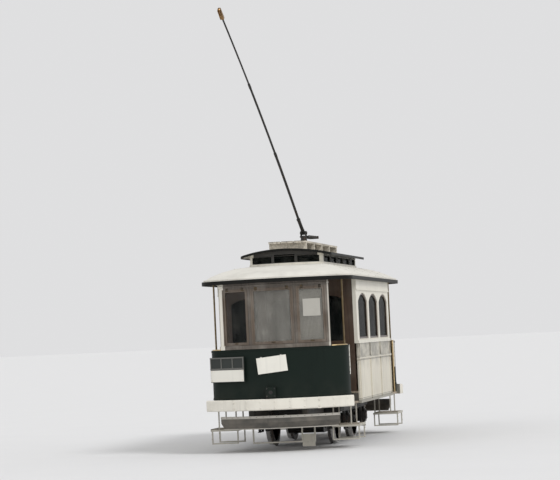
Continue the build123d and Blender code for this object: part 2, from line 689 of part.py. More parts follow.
def truck_frame():
    """Right-hand side frame: a deep top bar with two pairs of horns."""
    bar_under = FRAME_TOP_Z - FRAME_BAR_DEPTH
    slot = AXLE_BOX_WIDTH / 2 + HORN_CLEARANCE
    outline = [(-FRAME_HALF_LENGTH, FRAME_TOP_Z), (-FRAME_HALF_LENGTH, bar_under + FRAME_END_RISE)]
    for centre in (-AXLE_Y, AXLE_Y):
        outline += [
            (centre - slot - HORN_WIDTH - HORN_HAUNCH, bar_under),
            (centre - slot - HORN_WIDTH, bar_under - HORN_HAUNCH),
            (centre - slot - HORN_WIDTH, HORN_FOOT_Z),
            (centre - slot, HORN_FOOT_Z),
            (centre - slot, bar_under),
            (centre + slot, bar_under),
            (centre + slot, HORN_FOOT_Z),
            (centre + slot + HORN_WIDTH, HORN_FOOT_Z),
            (centre + slot + HORN_WIDTH, bar_under - HORN_HAUNCH),
            (centre + slot + HORN_WIDTH + HORN_HAUNCH, bar_under),
        ]
    outline += [(FRAME_HALF_LENGTH, bar_under + FRAME_END_RISE), (FRAME_HALF_LENGTH, FRAME_TOP_Z)]
    face = make_face(Polyline(outline + outline[:1]))
    low = FRAME_CENTRE_X - FRAME_PLATE / 2
    plate = along_x(face, low, low + FRAME_PLATE)
    flange = block(
        (low - FRAME_FLANGE, low + FRAME_PLATE + FRAME_FLANGE),
        (-FRAME_HALF_LENGTH, FRAME_HALF_LENGTH),
        (TRANSOM_TOP_Z, FRAME_TOP_Z),
    )
    return plate + flange


def axle_box(y):
    """Right-hand axle box with lips on both sides of the horns, a lid and a blind bore."""
    half = AXLE_BOX_DEPTH / 2
    low = FRAME_CENTRE_X - half
    high = FRAME_CENTRE_X + half
    body = Rectangle(AXLE_BOX_WIDTH, AXLE_BOX_HEIGHT)
    body = along_x(chamfer(body.vertices(), AXLE_BOX_CHAMFER), low, high)
    plate_half = FRAME_PLATE / 2 + AXLE_BOX_LIP_GAP
    lip_width = AXLE_BOX_WIDTH + 2 * AXLE_BOX_LIP_REACH
    lip_z = (-AXLE_BOX_LIP_HEIGHT / 2, AXLE_BOX_LIP_HEIGHT / 2)
    lips = [
        block(x, (-lip_width / 2, lip_width / 2), lip_z)
        for x in (
            (FRAME_CENTRE_X - plate_half - AXLE_BOX_LIP, FRAME_CENTRE_X - plate_half),
            (FRAME_CENTRE_X + plate_half, FRAME_CENTRE_X + plate_half + AXLE_BOX_LIP),
        )
    ]
    lid_face = chamfer(Rectangle(LID_WIDTH, LID_HEIGHT).vertices(), LID_CHAMFER)
    lid = along_x(lid_face, high, high + LID_THICKNESS)
    bore_radius = JOURNAL_DIAMETER / 2 + JOURNAL_CLEARANCE
    bore = Rot(0, 90, 0) * Cylinder(bore_radius, 2 * (high - AXLE_BOX_END))
    return Pos(0, y, AXLE_Z) * (body + lips + lid - bore)


def ribbed_coil(diameter, wire, turns, height):
    """Closely wound coil spring as a stack of ridges, standing on z = 0."""
    pitch = height / turns
    reach = diameter / 2
    outline = [(0, 0)]
    for turn in range(turns):
        base = turn * pitch
        outline += [(reach - wire / 2, base), (reach, base + pitch / 2)]
    outline += [(reach - wire / 2, height), (0, height)]
    return revolve(Plane.XZ * make_face(Polyline(outline + outline[:1])), Axis.Z)


def leaf_spring():
    """Inverted leaf spring over a truck frame, centred on y = 0, with its buckle."""
    rise = CROSS_BEARER_BOTTOM_Z - FRAME_TOP_Z - LEAF_COUNT * LEAF_THICKNESS - LEAF_TOP_GAP
    radius = ((LEAF_SPAN / 2) ** 2 + rise**2) / (2 * rise)
    centre = FRAME_TOP_Z + rise - radius
    pack = []
    for leaf in range(LEAF_COUNT):
        inner = radius + leaf * LEAF_THICKNESS
        outer = inner + LEAF_THICKNESS
        half = (LEAF_SPAN - leaf * LEAF_SHORTENING) / 2
        inner_z = centre + math.sqrt(inner**2 - half**2)
        outer_z = centre + math.sqrt(outer**2 - half**2)
        edges = [
            ThreePointArc((-half, inner_z), (0, centre + inner), (half, inner_z)),
            Line((half, inner_z), (half, outer_z)),
            ThreePointArc((half, outer_z), (0, centre + outer), (-half, outer_z)),
            Line((-half, outer_z), (-half, inner_z)),
        ]
        pack.append(make_face(edges))
    low = FRAME_CENTRE_X - LEAF_WIDTH / 2
    leaves = [along_x(face, low, low + LEAF_WIDTH) for face in pack]
    buckle = block(
        (low - BUCKLE_WALL, low + LEAF_WIDTH + BUCKLE_WALL),
        (-BUCKLE_LENGTH / 2, BUCKLE_LENGTH / 2),
        (FRAME_TOP_Z + rise - BUCKLE_LAP, CROSS_BEARER_BOTTOM_Z),
    )
    return leaves[0] + leaves[1:] + buckle


def axle_box_pads():
    """Pads between the axle boxes and the bar of the frame."""
    z = (AXLE_Z + AXLE_BOX_HEIGHT / 2, FRAME_TOP_Z - FRAME_BAR_DEPTH)
    half = AXLE_PAD / 2
    pads = []
    for x in (-FRAME_CENTRE_X, FRAME_CENTRE_X):
        for y in (-AXLE_Y, AXLE_Y):
            pads.append(block((x - half, x + half), (y - half, y + half), z))
    return pads


def leaf_springs():
    """The four leaf springs at the ends of the truck."""
    pieces = []
    for end in (-1, 1):
        leaf = Pos(0, end * LEAF_BEARER_Y, 0) * leaf_spring()
        pieces += [leaf, other_side(leaf)]
    return pieces


def coil_springs():
    """Coil springs between the truck frames and the middle bearers."""
    coil = ribbed_coil(COIL_DIAMETER, COIL_WIRE, COIL_TURNS, CROSS_BEARER_BOTTOM_Z - FRAME_TOP_Z)
    return [
        Pos(side * FRAME_CENTRE_X, end * COIL_BEARER_Y, FRAME_TOP_Z) * coil
        for side in (-1, 1)
        for end in (-1, 1)
    ]


def transoms():
    """Cross members between the side frames: two in the middle, one at each end."""
    reach = FRAME_CENTRE_X - FRAME_PLATE / 2
    end_centre = FRAME_HALF_LENGTH - TRANSOM_WIDTH / 2
    bars = []
    for centre in (-end_centre, -TRANSOM_CENTRE_Y, TRANSOM_CENTRE_Y, end_centre):
        span = (centre - TRANSOM_WIDTH / 2, centre + TRANSOM_WIDTH / 2)
        bars.append(block((-reach, reach), span, (TRANSOM_TOP_Z - TRANSOM_DEPTH, TRANSOM_TOP_Z)))
    return bars


def motor():
    """Front traction motor: its casing, hung on the axle by two arms, nose on the transom."""
    near = TRANSOM_CENTRE_Y + TRANSOM_WIDTH / 2
    half_height = MOTOR_HEIGHT / 2
    face = Rectangle(MOTOR_LENGTH, MOTOR_HEIGHT)
    face = fillet(face.vertices(), MOTOR_EDGE_RADIUS)
    centre_y = -(near + MOTOR_TRANSOM_GAP + MOTOR_LENGTH / 2)
    casing = along_x(Pos(centre_y, AXLE_Z) * face, -MOTOR_WIDTH / 2, MOTOR_WIDTH / 2)
    nose = block(
        (-MOTOR_NOSE_WIDTH / 2, MOTOR_NOSE_WIDTH / 2),
        (-(near + MOTOR_NOSE_LENGTH), -near),
        (TRANSOM_TOP_Z - TRANSOM_DEPTH, AXLE_Z + half_height - MOTOR_NOSE_DROP),
    )
    arms = []
    for x in (-MOTOR_ARM_CENTRE_X, MOTOR_ARM_CENTRE_X):
        span = (x - MOTOR_ARM_WIDTH / 2, x + MOTOR_ARM_WIDTH / 2)
        arm_y = (-AXLE_Y, centre_y - MOTOR_LENGTH / 2 + MOTOR_ARM_LAP)
        arm = block(span, arm_y, (AXLE_Z - MOTOR_ARM_HEIGHT / 2, AXLE_Z + MOTOR_ARM_HEIGHT / 2))
        ring = Rot(0, 90, 0) * Cylinder(MOTOR_BEARING_DIAMETER / 2, MOTOR_ARM_WIDTH)
        arms.append(arm + Pos(x, -AXLE_Y, AXLE_Z) * ring)
    bore = Rot(0, 90, 0) * Cylinder(AXLE_DIAMETER / 2 + JOURNAL_CLEARANCE, 2 * MOTOR_WIDTH)
    return casing + nose + arms - Pos(0, -AXLE_Y, AXLE_Z) * bore


def brake_gear():
    """Brake beam ahead of the front wheels, with a shoe and a hanger at each side."""
    outer = SHOE_INNER + SHOE_THICKNESS
    shoe_x = GAUGE / 2 + TREAD_WIDTH / 2
    ring = Cylinder(outer, SHOE_WIDTH) - Cylinder(SHOE_INNER, SHOE_WIDTH)
    far = outer + SHOE_THICKNESS
    reach = far * math.tan(math.radians(SHOE_HALF_ANGLE))
    wedge = Polyline((0, 0), (far, reach), (far, -reach), (0, 0))
    shoe = ring & extrude(make_face(wedge), SHOE_WIDTH, both=True)
    upright = Plane(origin=(0, 0, 0), x_dir=(0, -1, 0), z_dir=(1, 0, 0))
    beam_y = (-BRAKE_BEAM_Y - BRAKE_BEAM, -BRAKE_BEAM_Y)
    hanger_y = (beam_y[0], beam_y[0] + HANGER_BAR)
    arm_y = (-FRAME_HALF_LENGTH + TRANSOM_WIDTH, beam_y[1] - HANGER_LAP)
    hanger_top = TRANSOM_TOP_Z - HANGER_DROP
    pieces = []
    for side in (-1, 1):
        place = Pos(side * shoe_x, -AXLE_Y, AXLE_Z)
        pieces.append(place * (upright.location * shoe))
        bar = (side * shoe_x - HANGER_BAR / 2, side * shoe_x + HANGER_BAR / 2)
        pieces.append(block(bar, hanger_y, (AXLE_Z, hanger_top)))
        pieces.append(block(bar, arm_y, (hanger_top - HANGER_BAR, hanger_top)))
    beam = block(
        (-shoe_x - SHOE_WIDTH / 2, shoe_x + SHOE_WIDTH / 2),
        beam_y,
        (AXLE_Z - BRAKE_BEAM / 2, AXLE_Z + BRAKE_BEAM / 2),
    )
    return beam + pieces


def side_sills():
    """The two longitudinal sills under the saloon sides."""
    z = (SILL_BOTTOM_Z, FLOOR_UNDER_Z)
    right = block((BODY_INNER - SILL_WIDTH, BODY_INNER), (-BODY_END, BODY_END), z)
    return [right, other_side(right)]


def cross_bearers():
    """End sills and the bearers that stand on the truck's springs."""
    reach = BODY_INNER - SILL_WIDTH
    half = CROSS_BEARER_WIDTH / 2
    end = BODY_END - half
    bars = []
    for centre in (-end, -LEAF_BEARER_Y, -COIL_BEARER_Y, COIL_BEARER_Y, LEAF_BEARER_Y, end):
        low = SILL_BOTTOM_Z if abs(centre) == end else CROSS_BEARER_BOTTOM_Z
        bars.append(block((-reach, reach), (centre - half, centre + half), (low, FLOOR_UNDER_Z)))
    return bars


def platform_bearers():
    """Longitudinal knees under a platform, with the lugs that hold the lifeguard gate."""
    low = PLATFORM_UNDER_Z - PLATFORM_BEARER_DEPTH
    half = PLATFORM_BEARER_WIDTH / 2
    profile = Polyline(
        (-PLATFORM_BEARER_INNER_Y, SILL_BOTTOM_Z),
        (-PLATFORM_BEARER_INNER_Y, low),
        (-PLATFORM_BEARER_OUTER_Y, low),
        (-PLATFORM_BEARER_OUTER_Y, PLATFORM_UNDER_Z),
        (-BODY_END, PLATFORM_UNDER_Z),
        (-BODY_END, SILL_BOTTOM_Z),
        (-PLATFORM_BEARER_INNER_Y, SILL_BOTTOM_Z),
    )
    beam = along_x(make_face(profile), PLATFORM_BEARER_X - half, PLATFORM_BEARER_X + half)
    lug_face = SlotCenterToCenter(GATE_LUG_RISE, GATE_LUG_WIDTH, rotation=90)
    lug_face = Pos(-GATE_AXIS_Y, GATE_AXIS_Z + GATE_LUG_RISE / 2) * lug_face
    lug = along_x(lug_face, PLATFORM_BEARER_X - GATE_LUG / 2, PLATFORM_BEARER_X + GATE_LUG / 2)
    bore = rod(
        (0, -GATE_AXIS_Y, GATE_AXIS_Z),
        (2 * PLATFORM_BEARER_X, -GATE_AXIS_Y, GATE_AXIS_Z),
        GATE_PIN_DIAMETER + 2 * JOURNAL_CLEARANCE,
    )
    right = beam + (lug - bore)
    return [right, other_side(right)]


def saloon_floor():
    """Floor of the saloon."""
    z = (FLOOR_UNDER_Z, SALOON_FLOOR_Z)
    return block((-BODY_INNER, BODY_INNER), (-BODY_END, BODY_END), z)


def platform_floor():
    """Front platform's floor, bowed like the dash."""
    edges = open_edges(dash_arcs(0.0), -BODY_END)
    edges.append(Line((-DASH_HALF_WIDTH, -BODY_END), (DASH_HALF_WIDTH, -BODY_END)))
    return along_z(make_face(edges), PLATFORM_UNDER_Z, PLATFORM_FLOOR_Z)


def waist_panel():
    """Right-hand side panel below the windows, with its mouldings."""
    panel = block((BODY_INNER, BODY_HALF_WIDTH), (-BODY_END, BODY_END), (SILL_BOTTOM_Z, BELT_Z))
    proud = (BODY_HALF_WIDTH - MOULDING_LAP, BODY_HALF_WIDTH + MOULDING)
    strips = []
    for low in (SILL_BOTTOM_Z, WAIST_MOULDING_Z):
        strips.append(block(proud, (-BODY_END, BODY_END), (low, low + MOULDING_HEIGHT)))
    half = MOULDING_HEIGHT / 2
    for index in range(WINDOW_COUNT + 1):
        y = (index - WINDOW_COUNT / 2) * WINDOW_PITCH
        y = max(-BODY_END + half, min(BODY_END - half, y))
        strips.append(block(proud, (y - half, y + half), (SILL_BOTTOM_Z, BELT_Z)))
    return panel + strips


def window_places():
    """Y of each side window's middle."""
    return [(index - (WINDOW_COUNT - 1) / 2) * WINDOW_PITCH for index in range(WINDOW_COUNT)]


def window_face(y, inset=0.0):
    """Outline of the side window centred on y, as (y, z)."""
    face = arched_face(WINDOW_WIDTH, WINDOW_SILL_Z, WINDOW_HEAD_Z, WINDOW_RISE, inset)
    return Pos(y, 0) * face


def window_frame():
    """Right-hand posts and arched heads, with the belt rail standing proud."""
    wall = block((WALL_INNER, BODY_HALF_WIDTH), (-BODY_END, BODY_END), (BELT_Z, LETTERBOARD_Z))
    rail = block(
        (BODY_HALF_WIDTH - MOULDING_LAP, BODY_HALF_WIDTH + MOULDING),
        (-BODY_END, BODY_END),
        (BELT_Z, WINDOW_SILL_Z - BELT_LIP),
    )
    frame = wall + rail
    for y in window_places():
        frame -= along_x(window_face(y), WALL_INNER - CUT, BODY_HALF_WIDTH + CUT)
    return frame


def letterboard():
    """Right-hand board above the windows, with a bead along its lower edge."""
    outer = WALL_INNER + LETTERBOARD
    board = block((WALL_INNER, outer), (-BODY_END, BODY_END), (LETTERBOARD_Z, CANTRAIL_Z))
    bead = block(
        (outer - MOULDING_LAP, outer + LETTERBOARD_BEAD),
        (-BODY_END, BODY_END),
        (LETTERBOARD_Z, LETTERBOARD_Z + LETTERBOARD_BEAD_HEIGHT),
    )
    return board + bead


def glazed(outline, low, high, extrude_along):
    """Sash and pane for a window: outline(inset) is its face, low and high the sash's limits."""
    middle = (low + high) / 2
    pane = extrude_along(outline(SASH_STILE - GLASS_SEAT), middle - GLASS / 2, middle + GLASS / 2)
    frame = extrude_along(outline(0.0), low, high)
    frame -= extrude_along(outline(SASH_STILE), low - CUT, high + CUT)
    return frame - pane, pane


def side_windows():
    """Sashes and panes of both sides."""
    middle = BODY_HALF_WIDTH - WINDOW_WALL / 2
    sashes = []
    panes = []
    for y in window_places():
        sash, pane = glazed(
            lambda inset, y=y: window_face(y, inset),
            middle - SASH_THICKNESS / 2,
            middle + SASH_THICKNESS / 2,
            along_x,
        )
        sashes += [sash, other_side(sash)]
        panes += [pane, other_side(pane)]
    return sashes, panes


def light_face(x, inset=0.0):
    """Outline of a bulkhead light centred on x, as (x, z)."""
    face = arched_face(
        BULKHEAD_LIGHT_WIDTH, WINDOW_SILL_Z, BULKHEAD_LIGHT_HEAD_Z, BULKHEAD_LIGHT_RISE, inset
    )
    return Pos(x, 0) * face


def bulkhead():
    """Front bulkhead with its doorway, two lights and the rail of the sliding door."""
    inner_y = -BODY_END + BULKHEAD
    wall = block((-WALL_INNER, WALL_INNER), (-BODY_END, inner_y), (SALOON_FLOOR_Z, CANTRAIL_Z))
    half = DOORWAY_WIDTH / 2
    through = (-BODY_END - CUT, inner_y + CUT)
    wall -= block((-half, half), through, (SALOON_FLOOR_Z - CUT, DOORWAY_HEAD_Z))
    panes = []
    light_x = (half + WALL_INNER) / 2
    middle = -BODY_END + BULKHEAD / 2
    for x in (-light_x, light_x):
        wall -= along_y(light_face(x), *through)
        pane = along_y(light_face(x, -GLASS_SEAT), middle - GLASS / 2, middle + GLASS / 2)
        wall -= pane
        panes.append(pane)
    rail_y = inner_y + DOOR_GAP + DOOR_THICKNESS / 2 - DOOR_RAIL / 2
    rail_z = (DOOR_RAIL_Z, DOOR_RAIL_Z + DOOR_RAIL_HEIGHT)
    rail_end = DOOR_TRAVEL + half - DOOR_RAIL_SHORTFALL
    rail = block((-half - DOOR_RAIL_OVERRUN, rail_end), (rail_y, rail_y + DOOR_RAIL), rail_z)
    stud = DOOR_STUD / 2
    studs = [
        block((x - stud, x + stud), (inner_y, rail_y), (DOOR_RAIL_Z, DOOR_RAIL_Z + DOOR_STUD_HEIGHT))
        for x in (-half - DOOR_RAIL_OVERRUN + stud, half + stud, rail_end - stud)
    ]
    return wall + [rail] + studs, panes


def sliding_door():
    """Front sliding door with its pane and the two hooks that run on the rail."""
    half = DOORWAY_WIDTH / 2 + DOOR_LAP
    low_y = -BODY_END + BULKHEAD + DOOR_GAP
    high_y = low_y + DOOR_THICKNESS
    foot = SALOON_FLOOR_Z + DOOR_GAP
    head = DOORWAY_HEAD_Z + DOOR_HEAD_LAP
    panel = block((-half, half), (low_y, high_y), (foot, head))

    def light(inset):
        return arched_face(
            DOOR_LIGHT_WIDTH, WINDOW_SILL_Z, DOOR_LIGHT_HEAD_Z, DOOR_LIGHT_RISE, inset
        )

    middle = (low_y + high_y) / 2
    panel -= along_y(light(0.0), low_y - CUT, high_y + CUT)
    pane = along_y(light(-GLASS_SEAT), middle - GLASS / 2, middle + GLASS / 2)
    panel -= pane
    panel -= block(
        (-half + DOOR_STILE, half - DOOR_STILE),
        (high_y - DOOR_FIELD, high_y + CUT),
        (foot + DOOR_FIELD_FOOT, BELT_Z - DOOR_FIELD_HEAD),
    )
    rail_y = middle - DOOR_RAIL / 2
    hook_z = DOOR_RAIL_Z + DOOR_RAIL_HEIGHT + RUNNING_GAP
    hook_half = DOOR_HOOK_WIDTH / 2
    outer_y = high_y + DOOR_HOOK_LIP
    for centre in (-half + DOOR_STILE, half - DOOR_STILE):
        x = (centre - hook_half, centre + hook_half)
        strap_y = (rail_y + DOOR_RAIL + DOOR_STRAP_GAP, outer_y)
        strap = block(x, strap_y, (head - DOOR_STRAP_LENGTH, hook_z + DOOR_HOOK))
        panel += strap + block(x, (rail_y - CUT, outer_y), (hook_z, hook_z + DOOR_HOOK))
    return panel, pane


def bench():
    """Right-hand slatted bench on its brackets."""
    seat_z = SALOON_FLOOR_Z + BENCH_HEIGHT
    half = BENCH_LENGTH / 2
    front_x = BODY_INNER - BENCH_DEPTH
    seat_depth = BENCH_DEPTH - BENCH_BACK_GAP
    slat_width = (seat_depth - (BENCH_SLATS - 1) * BENCH_SLAT_GAP) / BENCH_SLATS
    slats = []
    for index in range(BENCH_SLATS):
        low = front_x + index * (slat_width + BENCH_SLAT_GAP)
        slats.append(block((low, low + slat_width), (-half, half), (seat_z - BENCH_SLAT, seat_z)))
    back_x = (BODY_INNER - BENCH_BACK_GAP, BODY_INNER - BENCH_BACK_GAP + BENCH_SLAT)
    back_low = seat_z + BENCH_BACK_RISE
    back_pitch = (BELT_Z - BENCH_BACK_DROP - back_low) / BENCH_BACK_SLATS
    for index in range(BENCH_BACK_SLATS):
        low = back_low + index * back_pitch
        slats.append(block(back_x, (-half, half), (low, low + back_pitch - BENCH_SLAT_GAP)))
    seat_under = seat_z - BENCH_SLAT + BRACKET_LAP
    head = (BODY_INNER, BELT_Z - BRACKET_DROP)
    head_inner = (BODY_INNER - BRACKET_BACK, BELT_Z - BRACKET_DROP)
    knee = (BODY_INNER - BRACKET_BACK, seat_under)
    nose = (front_x, seat_under - BRACKET_NOSE)
    belly = (BODY_INNER - BRACKET_BELLY_X, SALOON_FLOOR_Z + BRACKET_BELLY_RISE)
    toe = (BODY_INNER - BRACKET_FOOT, SALOON_FLOOR_Z)
    heel = (BODY_INNER, SALOON_FLOOR_Z)
    profile = [
        Line(heel, head),
        Line(head, head_inner),
        Line(head_inner, knee),
        Line(knee, (front_x, seat_under)),
        Line((front_x, seat_under), nose),
        ThreePointArc(nose, belly, toe),
        Line(toe, heel),
    ]
    face = make_face(profile)
    brackets = []
    for index in range(BENCH_BRACKETS):
        y = -half + BENCH_BRACKET + index * (BENCH_LENGTH - 2 * BENCH_BRACKET) / (BENCH_BRACKETS - 1)
        brackets.append(along_y(face, y - BENCH_BRACKET / 2, y + BENCH_BRACKET / 2))
    return brackets[0] + brackets[1:] + slats


def roof_sections(drop, inset):
    """Plans of the lower roof from the eave up, lowered by drop and moved inwards by inset."""
    eave = (EAVE_FRONT, EAVE_BOW_RADIUS, EAVE_HALF_WIDTH, EAVE_CORNER)
    plans = [(EAVE_Z, eave)]
    for rise, side, front, radius, corner in ROOF_LEVELS:
        less = (front, radius, side, corner)
        plans.append((EAVE_Z + rise, tuple(size - step_in for size, step_in in zip(eave, less))))
    wall = (CLERESTORY_FRONT, CLERESTORY_BOW_RADIUS, CLERESTORY_HALF_WIDTH, CLERESTORY_CORNER)
    plans.append((CLERESTORY_SILL_Z, tuple(size + CLERESTORY_SEAT for size in wall)))
    return [Pos(0, 0, z - drop) * ring_face(*(size - inset for size in plan)) for z, plan in plans]


def lower_roof():
    """Roof over the saloon sides with the hoods over the platforms, open under the clerestory."""
    rim = ring_face(EAVE_FRONT, EAVE_BOW_RADIUS, EAVE_HALF_WIDTH, EAVE_CORNER)
    hole = ring_face(
        EAVE_FRONT - CANTRAIL_WIDTH,
        EAVE_BOW_RADIUS - CANTRAIL_WIDTH,
        EAVE_HALF_WIDTH - CANTRAIL_WIDTH,
        EAVE_CORNER - CANTRAIL_WIDTH,
    )
    well = ring_face(
        CLERESTORY_FRONT - CLERESTORY_WALL,
        CLERESTORY_BOW_RADIUS - CLERESTORY_WALL,
        CLERESTORY_HALF_WIDTH - CLERESTORY_WALL,
        CLERESTORY_CORNER - CLERESTORY_WALL / 2,
    )
    cantrail = along_z(rim, CANTRAIL_Z, EAVE_Z)
    shell = loft(roof_sections(0.0, 0.0), ruled=True) + cantrail
    hollow = loft(roof_sections(ROOF_SKIN, ROOF_SKIN * 0.8), ruled=True)
    shell -= hollow - cantrail
    shell -= along_z(hole, CANTRAIL_Z - CUT, EAVE_Z + CUT)
    return shell - along_z(well, EAVE_Z, CLERESTORY_SILL_Z + CUT)


def arch_below(clearance):
    """Everything between a low level and the clerestory roof's underside raised by clearance."""
    radius = ROOF_ARCH_RADIUS + clearance
    half = ROOF_ARCH_SPAN + 100.0
    edge = ROOF_ARCH_CENTRE_Z + math.sqrt(radius**2 - half**2)
    crown = ROOF_ARCH_CENTRE_Z + radius
    low = CLERESTORY_SILL_Z - 100.0
    edges = [
        ThreePointArc((-half, edge), (0, crown), (half, edge)),
        Line((half, edge), (half, low)),
        Line((half, low), (-half, low)),
        Line((-half, low), (-half, edge)),
    ]
    reach = CLERESTORY_FRONT + 400.0
    return along_y(make_face(edges), -reach, reach)


def clerestory_plan(inset):
    """Plan of the clerestory's wall moved inwards by inset."""
    return ring_face(
        CLERESTORY_FRONT - inset,
        CLERESTORY_BOW_RADIUS - inset,
        CLERESTORY_HALF_WIDTH - inset,
        max(CLERESTORY_CORNER - inset, CLERESTORY_INNER_CORNER),
    )


def clerestory_openings():
    """Prisms through the clerestory's lights."""
    low = CLERESTORY_LIGHT_BOTTOM_Z
    high = CLERESTORY_LIGHT_TOP_Z
    reach = CLERESTORY_HALF_WIDTH + CLERESTORY_CUT
    prisms = []
    for index in range(CLERESTORY_LIGHTS):
        y = (index - (CLERESTORY_LIGHTS - 1) / 2) * CLERESTORY_LIGHT_PITCH
        half = CLERESTORY_LIGHT_LENGTH / 2
        prisms.append(block((-reach, reach), (y - half, y + half), (low, high)))
    for end in (-1, 1):
        far = end * (CLERESTORY_FRONT + CLERESTORY_CUT)
        y = sorted((end * (CLERESTORY_FRONT - CLERESTORY_BOW_DEPTH), far))
        for place in (-1, 0, 1):
            x = place * CLERESTORY_END_LIGHT_PITCH
            half = CLERESTORY_END_LIGHT_WIDTH / 2
            head = high + (CLERESTORY_CROWN_LIGHT_RISE if place == 0 else 0.0)
            prisms.append(block((x - half, x + half), y, (low, head)))
    return prisms


def clerestory():
    """Upright wall of the clerestory with its lights, and their glass."""
    low = CLERESTORY_SILL_Z
    top = CLERESTORY_ROOF_EAVE_Z + CLERESTORY_ROOF_RISE + CUT
    ring = along_z(clerestory_plan(0.0), low, top)
    ring -= along_z(clerestory_plan(CLERESTORY_WALL), low - CUT, top + CUT)
    sill_top = low + CLERESTORY_SILL_HEIGHT
    sill = along_z(clerestory_plan(-CLERESTORY_SILL_LIP), low, sill_top)
    sill -= along_z(clerestory_plan(CLERESTORY_SILL_LAP), low - CUT, sill_top + CUT)
    wall = (ring & arch_below(0.0)) + sill
    middle = CLERESTORY_WALL / 2
    skin = along_z(clerestory_plan(middle - GLASS / 2), low, top)
    skin -= along_z(clerestory_plan(middle + GLASS / 2), low - CUT, top + CUT)
    panes = []
    for light in clerestory_openings():
        wall -= light
        panes += (skin & light).solids()
    return wall, panes


def clerestory_roof():
    """Arched roof of the clerestory with bowed ends."""
    plan = ring_face(
        CLERESTORY_FRONT + CLERESTORY_ROOF_OVERHANG,
        CLERESTORY_BOW_RADIUS + CLERESTORY_ROOF_OVERHANG,
        ROOF_ARCH_SPAN,
        CLERESTORY_CORNER + CLERESTORY_ROOF_OVERHANG,
    )
    prism = along_z(plan, CLERESTORY_SILL_Z, CLERESTORY_CROWN_Z + CUT)
    return (prism & arch_below(ROOF_SKIN)) - arch_below(0.0)


def roof_walk():
    """Planks along the roof on curved bearers."""
    under = ROOF_WALK_Z - ROOF_PLANK
    pitch = ROOF_PLANK_WIDTH + ROOF_PLANK_GAP
    half_width = (ROOF_PLANKS - 1) / 2 * pitch + ROOF_PLANK_WIDTH / 2
    planks = []
    for index in range(ROOF_PLANKS):
        x = (index - (ROOF_PLANKS - 1) / 2) * pitch
        span = (x - ROOF_PLANK_WIDTH / 2, x + ROOF_PLANK_WIDTH / 2)
        y = (-ROOF_WALK_HALF_LENGTH, ROOF_WALK_HALF_LENGTH)
        planks.append(block(span, y, (under, ROOF_WALK_Z)))
    bearers = []
    for index in range(ROOF_WALK_BEARERS):
        share = index / (ROOF_WALK_BEARERS - 1)
        y = (2 * share - 1) * (ROOF_WALK_HALF_LENGTH - ROOF_WALK_BEARER_INSET)
        span = (y - ROOF_WALK_BEARER_WIDTH / 2, y + ROOF_WALK_BEARER_WIDTH / 2)
        bearers.append(block((-half_width, half_width), span, (CLERESTORY_ROOF_EAVE_Z, under)))
    bearers = [bearer - arch_below(ROOF_SKIN) for bearer in bearers]
    return planks[0] + planks[1:] + bearers


def dash():
    """Front dash of bent sheet with the lamp bracket on its face."""
    sheet = dash_band(0.0, DASH_SHEET, -DASH_TAIL_Y, PLATFORM_FLOOR_Z, DASH_TOP_Z)
    face_y = -HALF_LENGTH + LAMP_BRACKET_SEAT
    half = LAMP_BRACKET_WIDTH / 2
    x = (LAMP_BRACKET_X - half, LAMP_BRACKET_X + half)
    y = (face_y - LAMP_BRACKET_DEPTH, face_y)
    high = LAMP_BRACKET_Z + LAMP_BRACKET_HEIGHT
    plate = LAMP_BRACKET_PLATE
    bracket = block(x, y, (LAMP_BRACKET_Z, high))
    bracket -= block(
        (x[0] + plate, x[1] - plate), (y[0] + plate, face_y + CUT), (LAMP_BRACKET_Z - CUT, high + CUT)
    )
    socket_z = LAMP_BRACKET_Z + LAMP_BRACKET_HEIGHT / 2
    socket = rod(
        (LAMP_BRACKET_X, y[0] - CUT, socket_z),
        (LAMP_BRACKET_X, y[0] + plate + CUT, socket_z),
        LAMP_SOCKET_DIAMETER,
    )
    return sheet + (bracket - socket)


def pipe(start, end):
    """Straight length of the dash's twelve-sided pipe between two points."""
    run = Vector(*end) - Vector(*start)
    section = RegularPolygon(DASH_PIPE_DIAMETER / 2, DASH_PIPE_SIDES)
    return extrude(Plane(origin=start, x_dir=(0, 0, 1), z_dir=run) * section, run.length)


def dash_rail():
    """Right-hand pipe along the top edge of the dash, turned down at the doorway to the floor."""
    radius = DASH_PIPE_DIAMETER / 2
    inset = DASH_SHEET + radius + DASH_PIPE_GAP
    z = DASH_TOP_Z
    joint, _, side = dash_arcs(inset)[2]
    centre_x = DASH_HALF_WIDTH - DASH_CORNER
    lean = math.atan2(joint[0] - centre_x, side[1] - joint[1])
    stub = (joint[0] - WINDSCREEN_HALF_WIDTH - DASH_PIPE_END_GAP) / math.cos(lean)
    start = (joint[0] - stub * math.cos(lean), joint[1] - stub * math.sin(lean), z)
    ring = RegularPolygon(radius, DASH_PIPE_SIDES)
    section = Plane(origin=(*side, z), x_dir=(0, 0, 1), z_dir=(0, 1, 0)) * ring
    corner = revolve(section, Axis((centre_x, side[1], z), (0, 0, -1)), 90 - math.degrees(lean))
    down_y = -DASH_TAIL_Y + radius + DASH_PIPE_GAP
    turn_y = down_y - DASH_PIPE_BEND
    turn_z = z - DASH_PIPE_BEND
    end_section = Plane(origin=(side[0], turn_y, z), x_dir=(0, 0, 1), z_dir=(0, 1, 0)) * ring
    bend = revolve(end_section, Axis((side[0], turn_y, turn_z), (-1, 0, 0)), 90)
    run = Vector(side[0], down_y, PLATFORM_FLOOR_Z) - Vector(side[0], down_y, turn_z)
    post = Plane(origin=(side[0], down_y, turn_z), x_dir=(0, 1, 0), z_dir=run) * ring
    pieces = [corner, pipe((*side, z), (side[0], turn_y, z)), bend, extrude(post, run.length)]
    return pipe(start, (*joint, z)) + pieces


